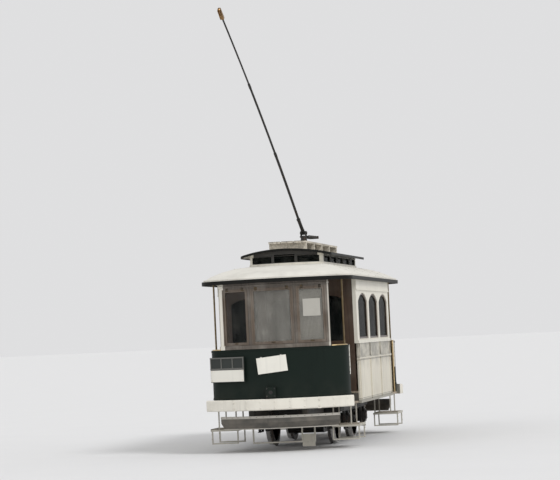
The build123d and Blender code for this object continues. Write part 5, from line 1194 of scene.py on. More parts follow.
@dataclass
class DashWork(Assembly):
    """Bands and rivets of the dashes, the front one's board and placard, and the lamp brackets."""

    low: float = 0.872
    high: float = 1.678
    tail: float = -2.65
    band: float = 0.036
    proud: float = 0.005
    rivet: float = 0.0075
    pitch: float = 0.082
    joint_angle: float = 19.0
    strap: float = 0.044
    strap_in: float = 0.022
    strap_rows: float = 0.012
    bead_low: float = 1.2
    bead_high: float = 1.676
    board_angle: float = -25.4
    board_size: tuple[float, float] = (0.68, 0.404)
    board_low: float = 1.16
    board_thick: float = 0.016
    rail: float = 0.022
    screw_in: float = 0.03
    placard_size: tuple[float, float] = (0.49, 0.26)
    placard_x: float = -0.03
    placard_z: float = 1.42
    placard_tilt: float = 5.5
    lamp: tuple[float, float, float] = (-0.06, -3.376, 0.975)

    def bands(self) -> None:
        """Flat iron bands with rivets along the dash's edges and joints, and pale beads at its ends."""
        line = DASH_PLAN.line(0.0, self.tail)
        bands, heads, beads = Shape(), Shape(), Shape()
        for z in (self.low, self.high - self.band):
            bands.sweep(line, strip(z, z + self.band, self.proud))
            for place in spaced(line, self.pitch, 0.02):
                heads.rivet(place.at(self.proud, z + self.band / 2), place.normal, self.rivet)
        left, _, right = DASH_PLAN.arc(0.0, self.joint_angle, 2)
        ends = [Station(end.point - BACK * self.strap_in, end.normal, 0.0) for end in (line[0], line[-1])]
        for place in (left, right, *ends):
            self._joint(bands, heads, place)
        for x in signed(DASH_PLAN.half_width - 0.004):
            low = (x - 0.006, self.tail - 0.032, self.bead_low)
            beads.box(low, (x + 0.012, self.tail + 0.006, self.bead_high))
        bands.both_ends().piece("dash_bands", Look.DASH, bevel=0.0015)
        heads.both_ends().piece("dash_rivets", Look.DASH, smooth=50)
        beads.both_ends().piece("dash_end_beads", Look.BOARD, bevel=0.004)

    def _joint(self, bands: Shape, heads: Shape, place: Station) -> None:
        """One upright strap over a joint of the sheet, with two rows of rivets."""
        low, high = self.low + self.band, self.high - self.band
        middle = place.at(-SINK, (low + high) / 2)
        bands.slab(middle, -place.tangent, UP, (self.strap, high - low, self.proud + SINK))
        count = round((high - low) / self.pitch)
        for i, shift in product(range(1, count), signed(self.strap_rows)):
            foot = place.at(self.proud, low + (high - low) * i / count) + place.tangent * shift
            heads.rivet(foot, place.normal, self.rivet * 0.8)

    def board(self) -> None:
        """The hung board at the left: a framed dark field over a bare pale plate."""
        angle = math.radians(self.board_angle)
        normal = Vector((math.sin(angle), -math.cos(angle), 0))
        right = Vector((math.cos(angle), math.sin(angle), 0))
        width, height = self.board_size
        middle = BACK * DASH_PLAN.centre_y + normal * (DASH_PLAN.radius + self.board_thick)
        middle += UP * (self.board_low + height / 2)
        back = Shape().slab(middle, right, UP, (width, height, self.board_thick))
        for shift, z in product(signed(0.26), signed(0.13)):
            spot = middle - normal * 0.05 + right * shift + UP * z
            back.slab(spot, right, UP, (0.05, 0.03, 0.052))
        front = middle + normal * self.board_thick
        upper = front + UP * height / 4
        rails = Shape()
        for z in (-height / 4 + 0.014, height / 4 - self.rail / 2):
            rails.slab(upper + UP * z, right, UP, (width, self.rail, 0.01))
        for x in signed(width / 2 - self.rail / 2, width / 6):
            rails.slab(upper + right * x, right, UP, (0.018, height / 2 - 0.03, 0.009))
        back.piece("route_board", Look.FIELD, bevel=0.002)
        rails.piece("route_board_frame", Look.RAIL, bevel=0.002)
        plate, size = Shape(), (width - 0.016, height / 2 - 0.014, 0.006)
        plate.slab(front - UP * (height / 4 - 0.002), right, UP, size)
        plate.piece("board_plate", Look.BOARD, bevel=0.002)
        heads = Shape()
        for x, z in product(signed(width / 2 - self.screw_in), (-height / 2 + self.screw_in, -0.02)):
            heads.rivet(front + normal * size[2] + right * x + UP * z, normal, 0.006)
        heads.piece("board_screws", Look.BRASS, smooth=50)

    def placard(self) -> None:
        """The tilted bare placard in the middle, on its two clips."""
        middle = Vector((self.placard_x, -DASH_PLAN.front - 0.008, self.placard_z))
        tilt = math.radians(self.placard_tilt)
        right = Vector((math.cos(tilt), 0, math.sin(tilt)))
        up = Vector((-math.sin(tilt), 0, math.cos(tilt)))
        width, height = self.placard_size
        Shape().slab(middle, right, up, (width, height, 0.005)).piece("placard", Look.BOARD, bevel=0.001)
        clips = Shape()
        for x in signed(width / 3):
            top = middle + right * x + up * (height / 2)
            clips.slab(top + BACK * 0.012, right, up, (0.014, 0.026, 0.0185))
        clips.piece("placard_clips", Look.BOARD, bevel=0.001)

    def lamp_brackets(self) -> None:
        """Four bolts and a ring on each lamp bracket."""
        bolts = Shape()
        x, y, z = self.lamp
        for dx, dz in product(signed(0.065), signed(0.06)):
            bolts.bolt((x + dx, y, z + dz), -BACK, 0.008)
        bolts.lathe((x, y - SINK, z), -BACK, [(0, 0.03), (0.004, 0.03), (0.004, 0.0125)], 24)
        bolts.both_ends().piece("lamp_bracket_bolts", Look.TRUCK, smooth=30)

    def build(self) -> None:
        """Make the dashes' pieces."""
        self.bands()
        self.board()
        self.placard()
        self.lamp_brackets()


@dataclass
class FrontIrons(Assembly):
    """Bolts and straps of the bumpers, and bands, lips and rivets of the aprons."""

    bumper_out: float = 0.075
    bumper_rows: tuple[float, float] = (0.732, 0.828)
    bumper_half_angle: float = 36.0
    bumper_pitch: float = 0.23
    strap: tuple[float, float, float] = (0.06, 0.184, 0.007)
    apron_half_angle: float = 33.0
    apron_top: float = 0.6
    apron_foot: float = 0.392
    apron_rivets: float = 0.505
    lip: float = 0.042
    lip_proud: float = 0.006

    def bumper(self) -> None:
        """Round-headed bolts in two rows and an iron strap at each end."""
        heads, straps = Shape(), Shape()
        line = DASH_PLAN.arc(-self.bumper_out, self.bumper_half_angle)
        for place, z in product(spaced(line, self.bumper_pitch), self.bumper_rows):
            heads.rivet(place.at(0.0, z), place.normal, 0.014)
        wide = spaced(line, 2 * self.bumper_pitch)
        for place in (wide[1], wide[-2]):
            straps.slab(place.at(-SINK, sum(self.bumper_rows) / 2), -place.tangent, UP, self.strap)
            for z in self.bumper_rows:
                straps.bolt(place.at(self.strap[2] - SINK, z), place.normal, 0.013)
        heads.both_ends().piece("bumper_bolts", Look.BUMPER, smooth=50)
        straps.both_ends().piece("bumper_straps", Look.BUMPER, bevel=0.002)

    def apron(self) -> None:
        """A pale band along the apron's head and a rolled lip at its foot, both pale as painted highlight,
        and rivets.
        """
        head = DASH_PLAN.arc(0.04, self.apron_half_angle)
        foot = DASH_PLAN.arc(0.118, self.apron_half_angle)
        bands, rolls, heads = Shape(), Shape(), Shape()
        bands.sweep(head, strip(self.apron_top - self.lip, self.apron_top, self.lip_proud))
        rolls.tube([place.at(0.0, self.apron_foot) for place in foot], 0.009, 10)
        rows = ((self.lip_proud, self.apron_top - self.lip / 2), (0.0, self.apron_rivets))
        for place, row in product(spaced(head, 0.11, 0.02), rows):
            heads.rivet(place.at(*row), place.normal, 0.007)
        # the pale band and lip carry painted highlight
        bands.both_ends().piece("apron_bands", Look.LIP, bevel=0.0015)
        rolls.both_ends().piece("apron_lips", Look.LIP, smooth=60)
        heads.both_ends().piece("apron_rivets", Look.APRON, smooth=50)

    def build(self) -> None:
        """Make the irons."""
        self.bumper()
        self.apron()


@dataclass(frozen=True)
class Panel:
    """One side of a windscreen, seen from outside."""

    start: Vector
    right: Vector
    length: float

    def at(self, across: float, out: float, z: float) -> Vector:
        """A place on it, out from its face."""
        return self.start + self.right * across + self.right.cross(UP) * out + UP * z


@dataclass
class WindscreenWork(Assembly):
    """Beads, hinges and drip boards of the windscreens, and the front one's poster and blind."""

    corners: tuple[tuple[float, float], ...] = (
        (-0.9, -3.048), (-0.375, -3.245), (0.375, -3.245), (0.9, -3.048),
    )
    posts: tuple[tuple[float, float], ...] = ((0.055, 0.03), (0.03, 0.03), (0.03, 0.055))
    sill: float = 1.745
    head: float = 2.655
    drip: float = 2.7
    cantrail: float = 2.765
    bead: float = 0.014
    bead_in: float = 0.009
    bead_depth: float = 0.015
    hinge_in: float = 0.09
    poster: tuple[float, float, float, float] = (0.134, 0.419, 2.172, 2.451)
    blind_in: float = 0.068
    blind_ends: tuple[float, float] = (0.045, 0.065)
    pleat: float = 0.022
    pleat_depth: float = 0.005
    pleat_steps: int = 8
    rows: int = 12

    def panel(self, index: int) -> Panel:
        """One of the three sides, from 0 at the left to 2 at the right."""
        start, end = [Vector((*corner, 0)) for corner in self.corners[index : index + 2]]
        return Panel(start, (end - start).normalized(), (end - start).length)

    def woodwork(self) -> None:
        """Beads, hinges and lifts of the sashes, cover strips on the corners and the drip board."""
        beads, covers, drip, hinges = Shape(), Shape(), Shape(), Shape()
        wide, tall = self.bead, self.head - self.sill
        for index, (left, far) in enumerate(self.posts):
            side = self.panel(index)
            right, low, high = side.right, left, side.length - far
            middle = (low + high) / 2
            for z in (self.sill + wide / 2, self.head - wide / 2):
                beads.slab(side.at(middle, -self.bead_in, z), right, UP, (high - low, wide, self.bead_depth))
            for x in (low + wide / 2, high - wide / 2):
                spot = side.at(x, -self.bead_in, (self.sill + self.head) / 2)
                beads.slab(spot, right, UP, (wide, tall - 2 * wide, self.bead_depth))
            spot = side.at(side.length / 2, -SINK, self.drip)
            drip.slab(spot, right, UP, (side.length + 0.012, 0.03, 0.018))
            for x in (low + self.hinge_in, high - self.hinge_in):
                hinges.slab(side.at(x, -0.008, self.head - 0.005), right, UP, (0.045, 0.055, 0.011))
                hinges.tube([side.at(x + s, 0.004, self.head - 0.005) for s in signed(0.024)], 0.006, 8)
            hinges.slab(side.at(middle, -0.007, self.sill + 0.03), right, UP, (0.06, 0.018, 0.012))
        for x, y in self.corners[1:3]:
            covers.tube([(x, y + 0.004, z) for z in (self.sill, self.cantrail)], 0.016, 12)
        beads.both_ends().piece("windscreen_beads", Look.SASH, bevel=0.003)
        covers.both_ends().piece("windscreen_covers", Look.SCREEN, smooth=50)
        drip.both_ends().piece("windscreen_drips", Look.SCREEN, bevel=0.005)
        hinges.both_ends().piece("windscreen_hinges", Look.HINGE, smooth=40)

    def stuck_poster(self) -> None:
        """The bare poster on the right-hand pane."""
        low, high, foot, top = self.poster
        side = self.panel(2)
        spot = side.at((low + high) / 2, -0.0219, (foot + top) / 2)
        sheet = Shape().slab(spot, side.right, UP, (high - low, top - foot, 0.0008))
        sheet.piece("window_poster", Look.POSTER)

    def blind(self) -> None:
        """The ribbed blind drawn behind the right-hand sash, on its rod."""
        side = self.panel(2)
        low, high = self.blind_ends[0], side.length - self.blind_ends[1]
        foot, top = self.sill + 0.01, self.head - 0.012
        steps = round((high - low) / self.pleat) * self.pleat_steps
        column: list[tuple[float, float]] = []
        for i in range(steps + 1):
            deep = self.pleat_depth * math.sin(2 * math.pi * i / self.pleat_steps)
            column.append((low + (high - low) * i / steps, deep))
        points = []
        for row in range(self.rows + 1):
            z = foot + (top - foot) * row / self.rows
            points += [side.at(across, -self.blind_in - deep, z) for across, deep in column]
        faces = []
        for row, i in product(range(self.rows), range(steps)):
            a = row * (steps + 1) + i
            faces.append((a, a + 1, a + steps + 2, a + steps + 1))
        cloth = Shape().add(points, faces).piece("windscreen_blind", Look.BLIND, smooth=60)
        ends = [side.at(x, -self.blind_in, top + 0.004) for x in (low - 0.012, high + 0.01)]
        rail = Shape().tube(ends, 0.006, 10).piece("blind_rod", Look.BRASS, smooth=50)

    def build(self) -> None:
        """Make the windscreens' pieces."""
        self.woodwork()
        self.stuck_poster()
        self.blind()


@dataclass
class RoofWork(Assembly):
    """Fascia, rolled edges, seams and mouldings of the roofs, and irons of the roof walk."""

    surface: BVHTree
    fascia_low: float = 2.74
    fascia_high: float = 2.803
    roll_z: float = 2.8
    seams: tuple[float, ...] = (0.45, 1.35, 2.25)
    seam_width: float = 0.045
    seam_reach: tuple[float, float] = (1.225, 0.645)
    seam_steps: int = 12
    seam_top: float = 3.06
    lights: int = 5
    light_pitch: float = 0.68
    light_half: float = 0.3
    light_low: float = 3.081
    light_high: float = 3.193
    light_bead: float = 0.012
    arch_radius: float = 3.3389
    arch_centre: float = -0.0489
    skin: float = 0.024
    planks: tuple[float, ...] = (-0.218, 0.0, 0.218)
    bearers: tuple[float, ...] = (-1.55, -0.775, 0.0, 0.775, 1.55)
    plank_end: float = 1.64
    deck: float = 3.45

    def height(self, x: float, y: float) -> float | None:
        """Top of the lower roof at a place, or None where there is none."""
        hit = self.surface.ray_cast(Vector((x, y, 6.0)), -UP)[0]
        return None if hit is None else hit.z

    def fascia(self) -> None:
        """Dark fascia round the eave, and the rolled edge of the canvas above it."""
        board = Shape()
        profile = oblong(-0.006, 0.008, self.fascia_low, self.fascia_high)
        board.sweep(EAVE_PLAN.line(0.0, 0.0, 16), profile)
        board.both_ends().piece("eave_fascia", Look.EDGE, bevel=0.002)
        path = []
        for place in EAVE_PLAN.line(0.03, 0.0, 16):
            top = self.height(place.point.x, place.point.y) or self.roll_z
            path.append(place.at(0.0, top + 0.004))
        Shape().tube(path, 0.011, 8).both_ends().piece("eave_rolls", Look.ROOF, smooth=60)

    def canvas_seams(self) -> None:
        """Lapped seams of the canvas across both sides, with their tacks."""
        seams, tacks = Shape(), Shape()
        half, lift = BACK * self.seam_width / 2, UP * 0.002
        outer, inner = self.seam_reach
        for y, side in product(signed(*self.seams), SIDES):
            path = []
            for i in range(self.seam_steps + 1):
                x = side * (outer - (outer - inner) * i / self.seam_steps)
                top = self.height(x, y)
                if top is not None and top < self.seam_top:
                    path.append(Vector((x, y, top)))
            if len(path) > 2:
                ring = (-half - lift, half - lift, half + lift, lift - half)
                seams.loft([[point + corner for corner in ring] for point in path])
                for point in path[1:-1:2]:
                    tacks.rivet(point + lift - half * 0.5, UP, 0.006)
        seams.piece("roof_seams", Look.ROOF)
        tacks.piece("roof_tacks", Look.TROLLEY, smooth=50)

    def clerestory(self) -> None:
        """Mouldings under the lights and the eave, beads round the side lights, roof edge."""
        strips, beads, edge = Shape(), Shape(), Shape()
        line = CLERESTORY_PLAN.line(0.0, 0.0, 8)
        for z, high, out in ((3.0705, 3.08, 0.012), (3.194, 3.204, 0.01)):
            strips.sweep(line, [(-SINK, z), (out, z), (out * 0.7, high), (-SINK, high)])
        face, wide = CLERESTORY_PLAN.half_width - SINK, self.light_bead
        low, high = self.light_low, self.light_high
        for index in range(self.lights):
            middle = (index - (self.lights - 1) / 2) * self.light_pitch
            near, far = middle - self.light_half, middle + self.light_half
            sides = ((near, near + wide, low), (far - wide, far, low), (near, far, high - wide))
            for start, end, foot in sides:
                beads.box((face, start, foot), (face + 0.008, end, high))
        reach = CLERESTORY_EAVE.half_width
        rings = []
        for place in CLERESTORY_EAVE.line(0.0, 0.0, 10):
            under = self.arch_centre + math.sqrt(self.arch_radius**2 - min(place.point.x**2, reach**2))
            profile = oblong(-0.004, 0.007, under - 0.014, under + self.skin + 0.002)
            rings.append([place.at(*corner) for corner in profile])
        edge.loft(rings)
        strips.both_ends().piece("clerestory_mouldings", Look.CLERESTORY, bevel=0.002)
        beads.both_sides().piece("clerestory_beads", Look.CLERESTORY, bevel=0.002)
        edge.both_ends().piece("clerestory_roof_edge", Look.EDGE, bevel=0.002)

    def walk(self) -> None:
        """Bolts of the roof walk and iron ties at its plank ends."""
        bolts, ties = Shape(), Shape()
        for y, plank, shift in product(self.bearers, self.planks, signed(0.06)):
            bolts.rivet((plank + shift, y, self.deck), UP, 0.011)
        low, high = self.deck - 0.0005, self.deck + 0.0035
        for y, plank in product(signed(self.plank_end), self.planks):
            ties.box((plank - 0.096, y - 0.012, low), (plank + 0.096, y + 0.006, high))
        bolts.piece("walk_bolts", Look.TROLLEY, smooth=50)
        ties.piece("walk_ties", Look.TROLLEY, bevel=0.001)

    def build(self) -> None:
        """Make the roofs' pieces."""
        self.fascia()
        self.canvas_seams()
        self.clerestory()
        self.walk()


@dataclass
class SideWork(Assembly):
    """Beads, lifts and nails of the body sides."""

    half_width: float = 1.165
    windows: tuple[float, ...] = (-1.2, 0.0, 1.2)
    arch: Arch = Arch(1.06, 1.746, 2.545, 0.15)
    bead: float = 0.016
    sash_face: float = 1.112
    lift_z: float = 1.776
    nail: float = 0.005
    rails: tuple[float, ...] = (0.717, 1.447, 1.714)
    rail_half: float = 1.87
    rail_nails: int = 31
    posts: tuple[float, ...] = (-1.883, -0.6, 0.6, 1.883)
    post_foot: float = 0.79
    post_pitch: float = 0.085
    post_nails: int = 8

    def build(self) -> None:
        """Make the sides' pieces."""
        beads, lifts, nails = Shape(), Shape(), Shape()
        inner, outer = self.half_width - 0.014, self.half_width + 0.015
        for y in self.windows:
            beads.frame(
                self.arch,
                self.bead,
                lambda across, z, out, y=y: Vector((inner + out, y + across, z)),
                0.018,
            )
            for near, far, half, rise in ((0.0, 0.007, 0.05, 0.008), (-0.008, 0.0, 0.04, 0.004)):
                low = (self.sash_face + near, y - half, self.lift_z - rise)
                lifts.box(low, (self.sash_face + far, y + half, self.lift_z + rise))
        beads.both_sides().piece("side_window_beads", Look.CREAM, bevel=0.002)
        lifts.both_sides().piece("sash_lifts", Look.BRASS, bevel=0.001)
        for z, i in product(self.rails, range(self.rail_nails)):
            y = self.rail_half * (2 * i / (self.rail_nails - 1) - 1)
            nails.rivet((outer, y, z), RIGHT, self.nail)
        for y, i in product(self.posts, range(self.post_nails)):
            nails.rivet((outer, y, self.post_foot + self.post_pitch * i), RIGHT, self.nail)
        nails.both_sides().piece("side_nails", Look.PANEL, smooth=50)


@dataclass
class CabWork(Assembly):
    """Fittings of the controllers, hand brakes, doors and stanchions."""

    floor: float = 0.74
    controller: tuple[float, float] = (-0.34, -3.02)
    case_face: float = 0.12
    hinges: tuple[float, ...] = (0.86, 1.18, 1.5)
    staff: tuple[float, float] = (0.34, -3.04)
    staff_foot: float = 0.764
    ratchet: tuple[float, float] = (0.767, 0.797)
    teeth: int = 16
    tooth_reach: tuple[float, float] = (0.05, 0.062)
    door_faces: tuple[float, float] = (-1.849, -1.817)
    handle: tuple[float, float] = (-0.32, 1.5)
    stanchion: tuple[float, float] = (1.065, -2.7)
    cantrail: float = 2.77

    def controllers(self) -> None:
        """Dial, nut, knob, cover screws, hinges, cover, plinth and cable pipe of each controller."""
        x, y = self.controller
        brass, iron = Shape(), Shape()
        knob = [(0, 0.012), (0.012, 0.018), (0.026, 0.014), (0.032, 0.004)]
        screw = [(0, 0.012), (0.012, 0.012), (0.016, 0.006)]
        brass.lathe((x, y, 1.6655), UP, [(0, 0.1), (0.006, 0.1), (0.008, 0.094), (0.008, 0.03)], 32)
        brass.lathe((x, y, 1.709), UP, [(0, 0.024), (0.012, 0.022), (0.018, 0.008)], 16)
        brass.lathe((x + 0.145, y + 0.029, 1.768), UP, knob, 14)
        face = y + self.case_face
        for z, side in product(self.hinges, SIDES):
            iron.tube([(x + side * 0.139, y - 0.055, z + end) for end in signed(0.03)], 0.009, 8)
            brass.lathe((x + side * 0.05, face, z + 0.05), BACK, screw, 10)
        iron.slab((x, face, 1.2), -RIGHT, UP, (0.19, 0.78, 0.008))
        iron.slab((x, y, self.floor), RIGHT, BACK, (0.32, 0.28, 0.03))
        pipe = [(x - 0.1, y + out, z) for out, z in ((0.1, self.floor), (0.16, 0.9), (0.1, 1.0))]
        iron.tube(pipe, 0.017, 10)
        brass.both_ends().piece("controller_brass", Look.BRASS, smooth=40)
        iron.both_ends().piece("controller_irons", Look.CONTROL, bevel=0.002)

    def hand_brakes(self) -> None:
        """Ratchet teeth, pawl, foot bolts, bosses and turned grip of each hand brake."""
        x, y = self.staff
        iron, grip = Shape(), Shape()
        ring = []
        for i, (across, along) in enumerate(turns(2 * self.teeth)):
            reach = self.tooth_reach[i % 2]
            ring.append((x + reach * across, y + reach * along))
        iron.loft([[(*spot, z) for spot in ring] for z in self.ratchet])
        iron.slab((x + 0.085, y, self.staff_foot), RIGHT, BACK, (0.07, 0.022, 0.022))
        iron.lathe((x, y, 1.718), UP, [(0, 0.03), (0.026, 0.03), (0.034, 0.02), (0.046, 0.016)], 16)
        iron.lathe((x, y, 1.2), UP, [(0, 0.026), (0.02, 0.026)], 14)
        for dx, dy in product(signed(0.046), repeat=2):
            iron.bolt((x + dx, y + dy, self.staff_foot), UP, 0.008)
        top = [(0, 0.017), (0.02, 0.0195), (0.05, 0.0215), (0.08, 0.0205), (0.112, 0.018), (0.122, 0.01)]
        grip.lathe((x, y + 0.226, 1.742), UP, top, 18)
        iron.both_ends().piece("hand_brake_irons", Look.CONTROL, smooth=30)
        grip.both_ends().piece("hand_brake_grips", Look.BENCH, smooth=50)

    def doors(self) -> None:
        """Lock plates on both faces of each sliding door, and a pull handle inside."""
        x, z = self.handle
        outside, inside = self.door_faces
        brass = Shape()
        brass.slab((x, outside, z), RIGHT, UP, (0.04, 0.2, 0.004))
        brass.slab((x, inside, z), -RIGHT, UP, (0.04, 0.2, 0.004))
        bends = ((0.0, -0.08), (0.045, -0.07), (0.045, 0.07), (0.0, 0.08))
        brass.tube([(x, inside + out, z + rise) for out, rise in bends], 0.008, 10)
        brass.twin_pieces("door_{}_handle", Look.BRASS, "sliding_door_{}", 40)

    def stanchions(self) -> None:
        """Turned collars where each stanchion meets the floor and the cantrail."""
        collars = Shape()
        ring = [(0, 0.034), (0.008, 0.034), (0.012, 0.022), (0.03, 0.019)]
        across, y = self.stanchion
        for x in signed(across):
            collars.lathe((x, y, self.floor), UP, ring, 18)
            collars.lathe((x, y, self.cantrail), -UP, ring, 18)
        collars.both_ends().piece("stanchion_collars", Look.PILLAR, smooth=40)

    def build(self) -> None:
        """Make the platforms' fittings."""
        self.controllers()
        self.hand_brakes()
        self.doors()
        self.stanchions()


@dataclass
class Saloon(Assembly):
    """Floor battens seen through the doorways."""

    half_length: float = 1.78
    battens: int = 9
    pitch: float = 0.135
    half_width: float = 0.022
    foot: float = 0.8995
    top: float = 0.911

    def build(self) -> None:
        """Make the battens."""
        slats = Shape()
        for index in range(self.battens):
            x = (index - (self.battens - 1) / 2) * self.pitch
            low = (x - self.half_width, -self.half_length, self.foot)
            slats.box(low, (x + self.half_width, self.half_length, self.top))
        slats.piece("floor_battens", Look.BENCH, bevel=0.003)


@dataclass
class TruckWork(Assembly):
    """Springs, bolts, lids and rods of the truck."""

    frame_x: float = 0.735
    frame_half: float = 0.018
    axle_y: float = 0.9
    axle_z: float = 0.4
    coil_y: float = 0.35
    coil_radius: float = 0.054
    coil_wire: float = 0.0105
    coil_turns: float = 3.4
    coil_ends: tuple[float, float] = (0.654, 0.726)
    frame_top: float = 0.64
    bearer_foot: float = 0.74
    bar_bolts: tuple[float, ...] = (0.13, 0.4, 0.6, 1.25, 1.47)
    bar_rows: tuple[float, ...] = (0.575, 0.61)
    horn_bolt: float = 0.133
    horn_rows: tuple[float, ...] = (0.275, 0.32, 0.5, 0.54)
    lid_out: float = 0.086
    spring_y: float = 1.2
    spring_end: float = 0.3
    rod_x: float = 0.35
    rod_z: float = 0.665
    beam: tuple[float, float] = (1.34, 0.43)
    hanger_x: float = 0.544
    hanger_pins: tuple[tuple[float, float], ...] = ((1.353, 0.6), (1.36, 0.43))
    motor_y: float = 0.465
    motor_side: float = 0.31
    motor_top: float = 0.612
    flange_bolts: float = 0.13
    wheel_x: float = 0.5
    rim_bolts: float = 0.342

    def coils(self) -> None:
        """Wound coil springs between their cups, in place of the plain ones."""
        coils, cups = Shape(), Shape()
        steps = round(self.coil_turns * 18)
        foot, top = self.coil_ends
        cup = [(0, 0.068), (0.012, 0.068), (0.012, 0.04), (0.022, 0.036)]
        for x, y in product(signed(self.frame_x), signed(self.coil_y)):
            path = []
            for i in range(steps + 1):
                angle = 2 * math.pi * self.coil_turns * i / steps
                across, along = self.coil_radius * math.cos(angle), self.coil_radius * math.sin(angle)
                path.append((x + across, y + along, foot + (top - foot) * i / steps))
            coils.tube(path, self.coil_wire, 8)
            cups.lathe((x, y, self.frame_top), UP, cup, 20)
            cups.lathe((x, y, self.bearer_foot), -UP, cup, 20)
        made = coils.piece("wound_coils", Look.SPRING, smooth=60)
        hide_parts("coil_springs")
        cups.piece("coil_cups", Look.CAST, smooth=40)

    def bolts(self) -> None:
        """Bolts of the frames, horns and spring buckles, ties under the horns, axle-box lids."""
        frame, boxes = Shape(), Shape()
        face, lid, top = self.frame_x + self.frame_half, self.frame_x + self.lid_out, self.frame_top
        boss = [(0, 0.034), (0.004, 0.034), (0.008, 0.026), (0.011, 0.008)]
        for y, z in product(signed(*self.bar_bolts), self.bar_rows):
            frame.bolt((face, y, z), RIGHT, 0.011)
        for centre in signed(self.axle_y):
            for shift, z in product(signed(self.horn_bolt), self.horn_rows):
                frame.bolt((face, centre + shift, z), RIGHT, 0.01)
            frame.box((face - 0.03, centre - 0.17, 0.236), (face + 0.012, centre + 0.17, 0.25))
            for dy, dz in product(signed(0.045), signed(0.05)):
                boxes.bolt((lid, centre + dy, self.axle_z + dz), RIGHT, 0.009)
            boxes.lathe((lid, centre, self.axle_z), RIGHT, boss, 20)
            pin = [(lid - 0.006, centre + dy, self.axle_z + 0.078) for dy in signed(0.06)]
            boxes.tube(pin, 0.009, 8)
        for y in signed(self.spring_y):
            for dy in signed(0.026):
                frame.bolt((self.frame_x + 0.045, y + dy, 0.715), RIGHT, 0.008)
                clip = [(self.frame_x + 0.047, y + dy * 1.9, z) for z in (top, 0.738)]
                frame.tube(clip, 0.006, 8)
            for dy in signed(self.spring_end):
                low = (self.frame_x - 0.04, y + dy - 0.016, top - 0.0005)
                frame.box(low, (self.frame_x + 0.04, y + dy + 0.016, top + 0.009))
        frame.both_sides().piece("truck_bolts", Look.TRUCK, smooth=30)
        boxes.both_sides().piece("axle_box_lids", Look.CAST, smooth=40)

    def brakes(self) -> None:
        """Pull rods, turnbuckles and pins between the brake beams."""
        rods = Shape()
        out, low = self.beam
        for x in signed(self.rod_x):
            bends = ((-out, low), (-1.2, self.rod_z), (1.2, self.rod_z), (out, low))
            for ends in zip(bends, bends[1:]):
                rods.tube([(x, *end) for end in ends], 0.012, 8)
            rods.tube([(x, y, self.rod_z) for y in signed(0.12)], 0.02, 10)
        for end, x, (y, z) in product(SIDES, signed(self.hanger_x), self.hanger_pins):
            rods.tube([(x + dx, end * y, z) for dx in signed(0.024)], 0.012, 8)
        rods.piece("brake_rods", Look.TRUCK, smooth=50)

    def motors(self) -> None:
        """Covers, flanges and bolts on the motors."""
        cast = Shape()
        top, lid, middle = self.motor_top, self.motor_top + 0.012, self.axle_z
        flange = [(-0.002, 0.15), (0.016, 0.15), (0.022, 0.11), (0.024, 0.05), (0.034, 0.045)]
        for y in signed(self.motor_y):
            cast.box((-0.2, y - 0.15, top), (0.2, y + 0.15, lid))
            for x, dy in product(signed(0.17), signed(0.12)):
                cast.bolt((x, y + dy, lid), UP, 0.009)
            for side in SIDES:
                cast.lathe((side * self.motor_side, y, middle), RIGHT * side, flange, 28)
                for along, rise in turns(8, 0.3):
                    spot = Vector((0, along, rise)) * self.flange_bolts
                    spot += Vector((side * (self.motor_side + 0.015), y, middle))
                    cast.bolt(spot, RIGHT * side, 0.008)
            cast.box((-0.312, y - 0.255, middle - 0.008), (0.312, y + 0.255, middle + 0.008))
        cast.piece("motor_covers", Look.CAST, smooth=35)

    def wheels(self) -> None:
        """Bright treads, tyre and hub rings and rim bolts on both wheelsets."""
        treads = [(0.004, 0.3835), (0.0885, 0.3765), (0.0885, 0.36), (0.004, 0.36), (0.004, 0.3835)]
        tyre = [(0.088, 0.352), (0.092, 0.35), (0.092, 0.335), (0.088, 0.333)]
        hub = [(0.099, 0.1), (0.104, 0.096), (0.104, 0.07), (0.099, 0.066)]
        for name, y in (("wheelset_front", -self.axle_y), ("wheelset_rear", self.axle_y)):
            tread, rings = Shape(), Shape()
            for side in SIDES:
                foot, axis = Vector((side * self.wheel_x, y, self.axle_z)), RIGHT * side
                tread.lathe(foot, axis, treads, 96)
                rings.lathe(foot, axis, tyre, 64)
                rings.lathe(foot, axis, hub, 32)
                for along, rise in turns(8, math.pi / 8):
                    around = Vector((0, along, rise)) * self.rim_bolts
                    rings.bolt(foot + axis * tyre[0][0] + around, axis, 0.009)
            tread.piece(name + "_treads", Look.TREAD, name, smooth=40)
            rings.piece(name + "_rings", Look.WHEEL, name, smooth=40)

    def build(self) -> None:
        """Make the truck's pieces."""
        self.coils()
        self.bolts()
        self.brakes()
        self.motors()
        self.wheels()


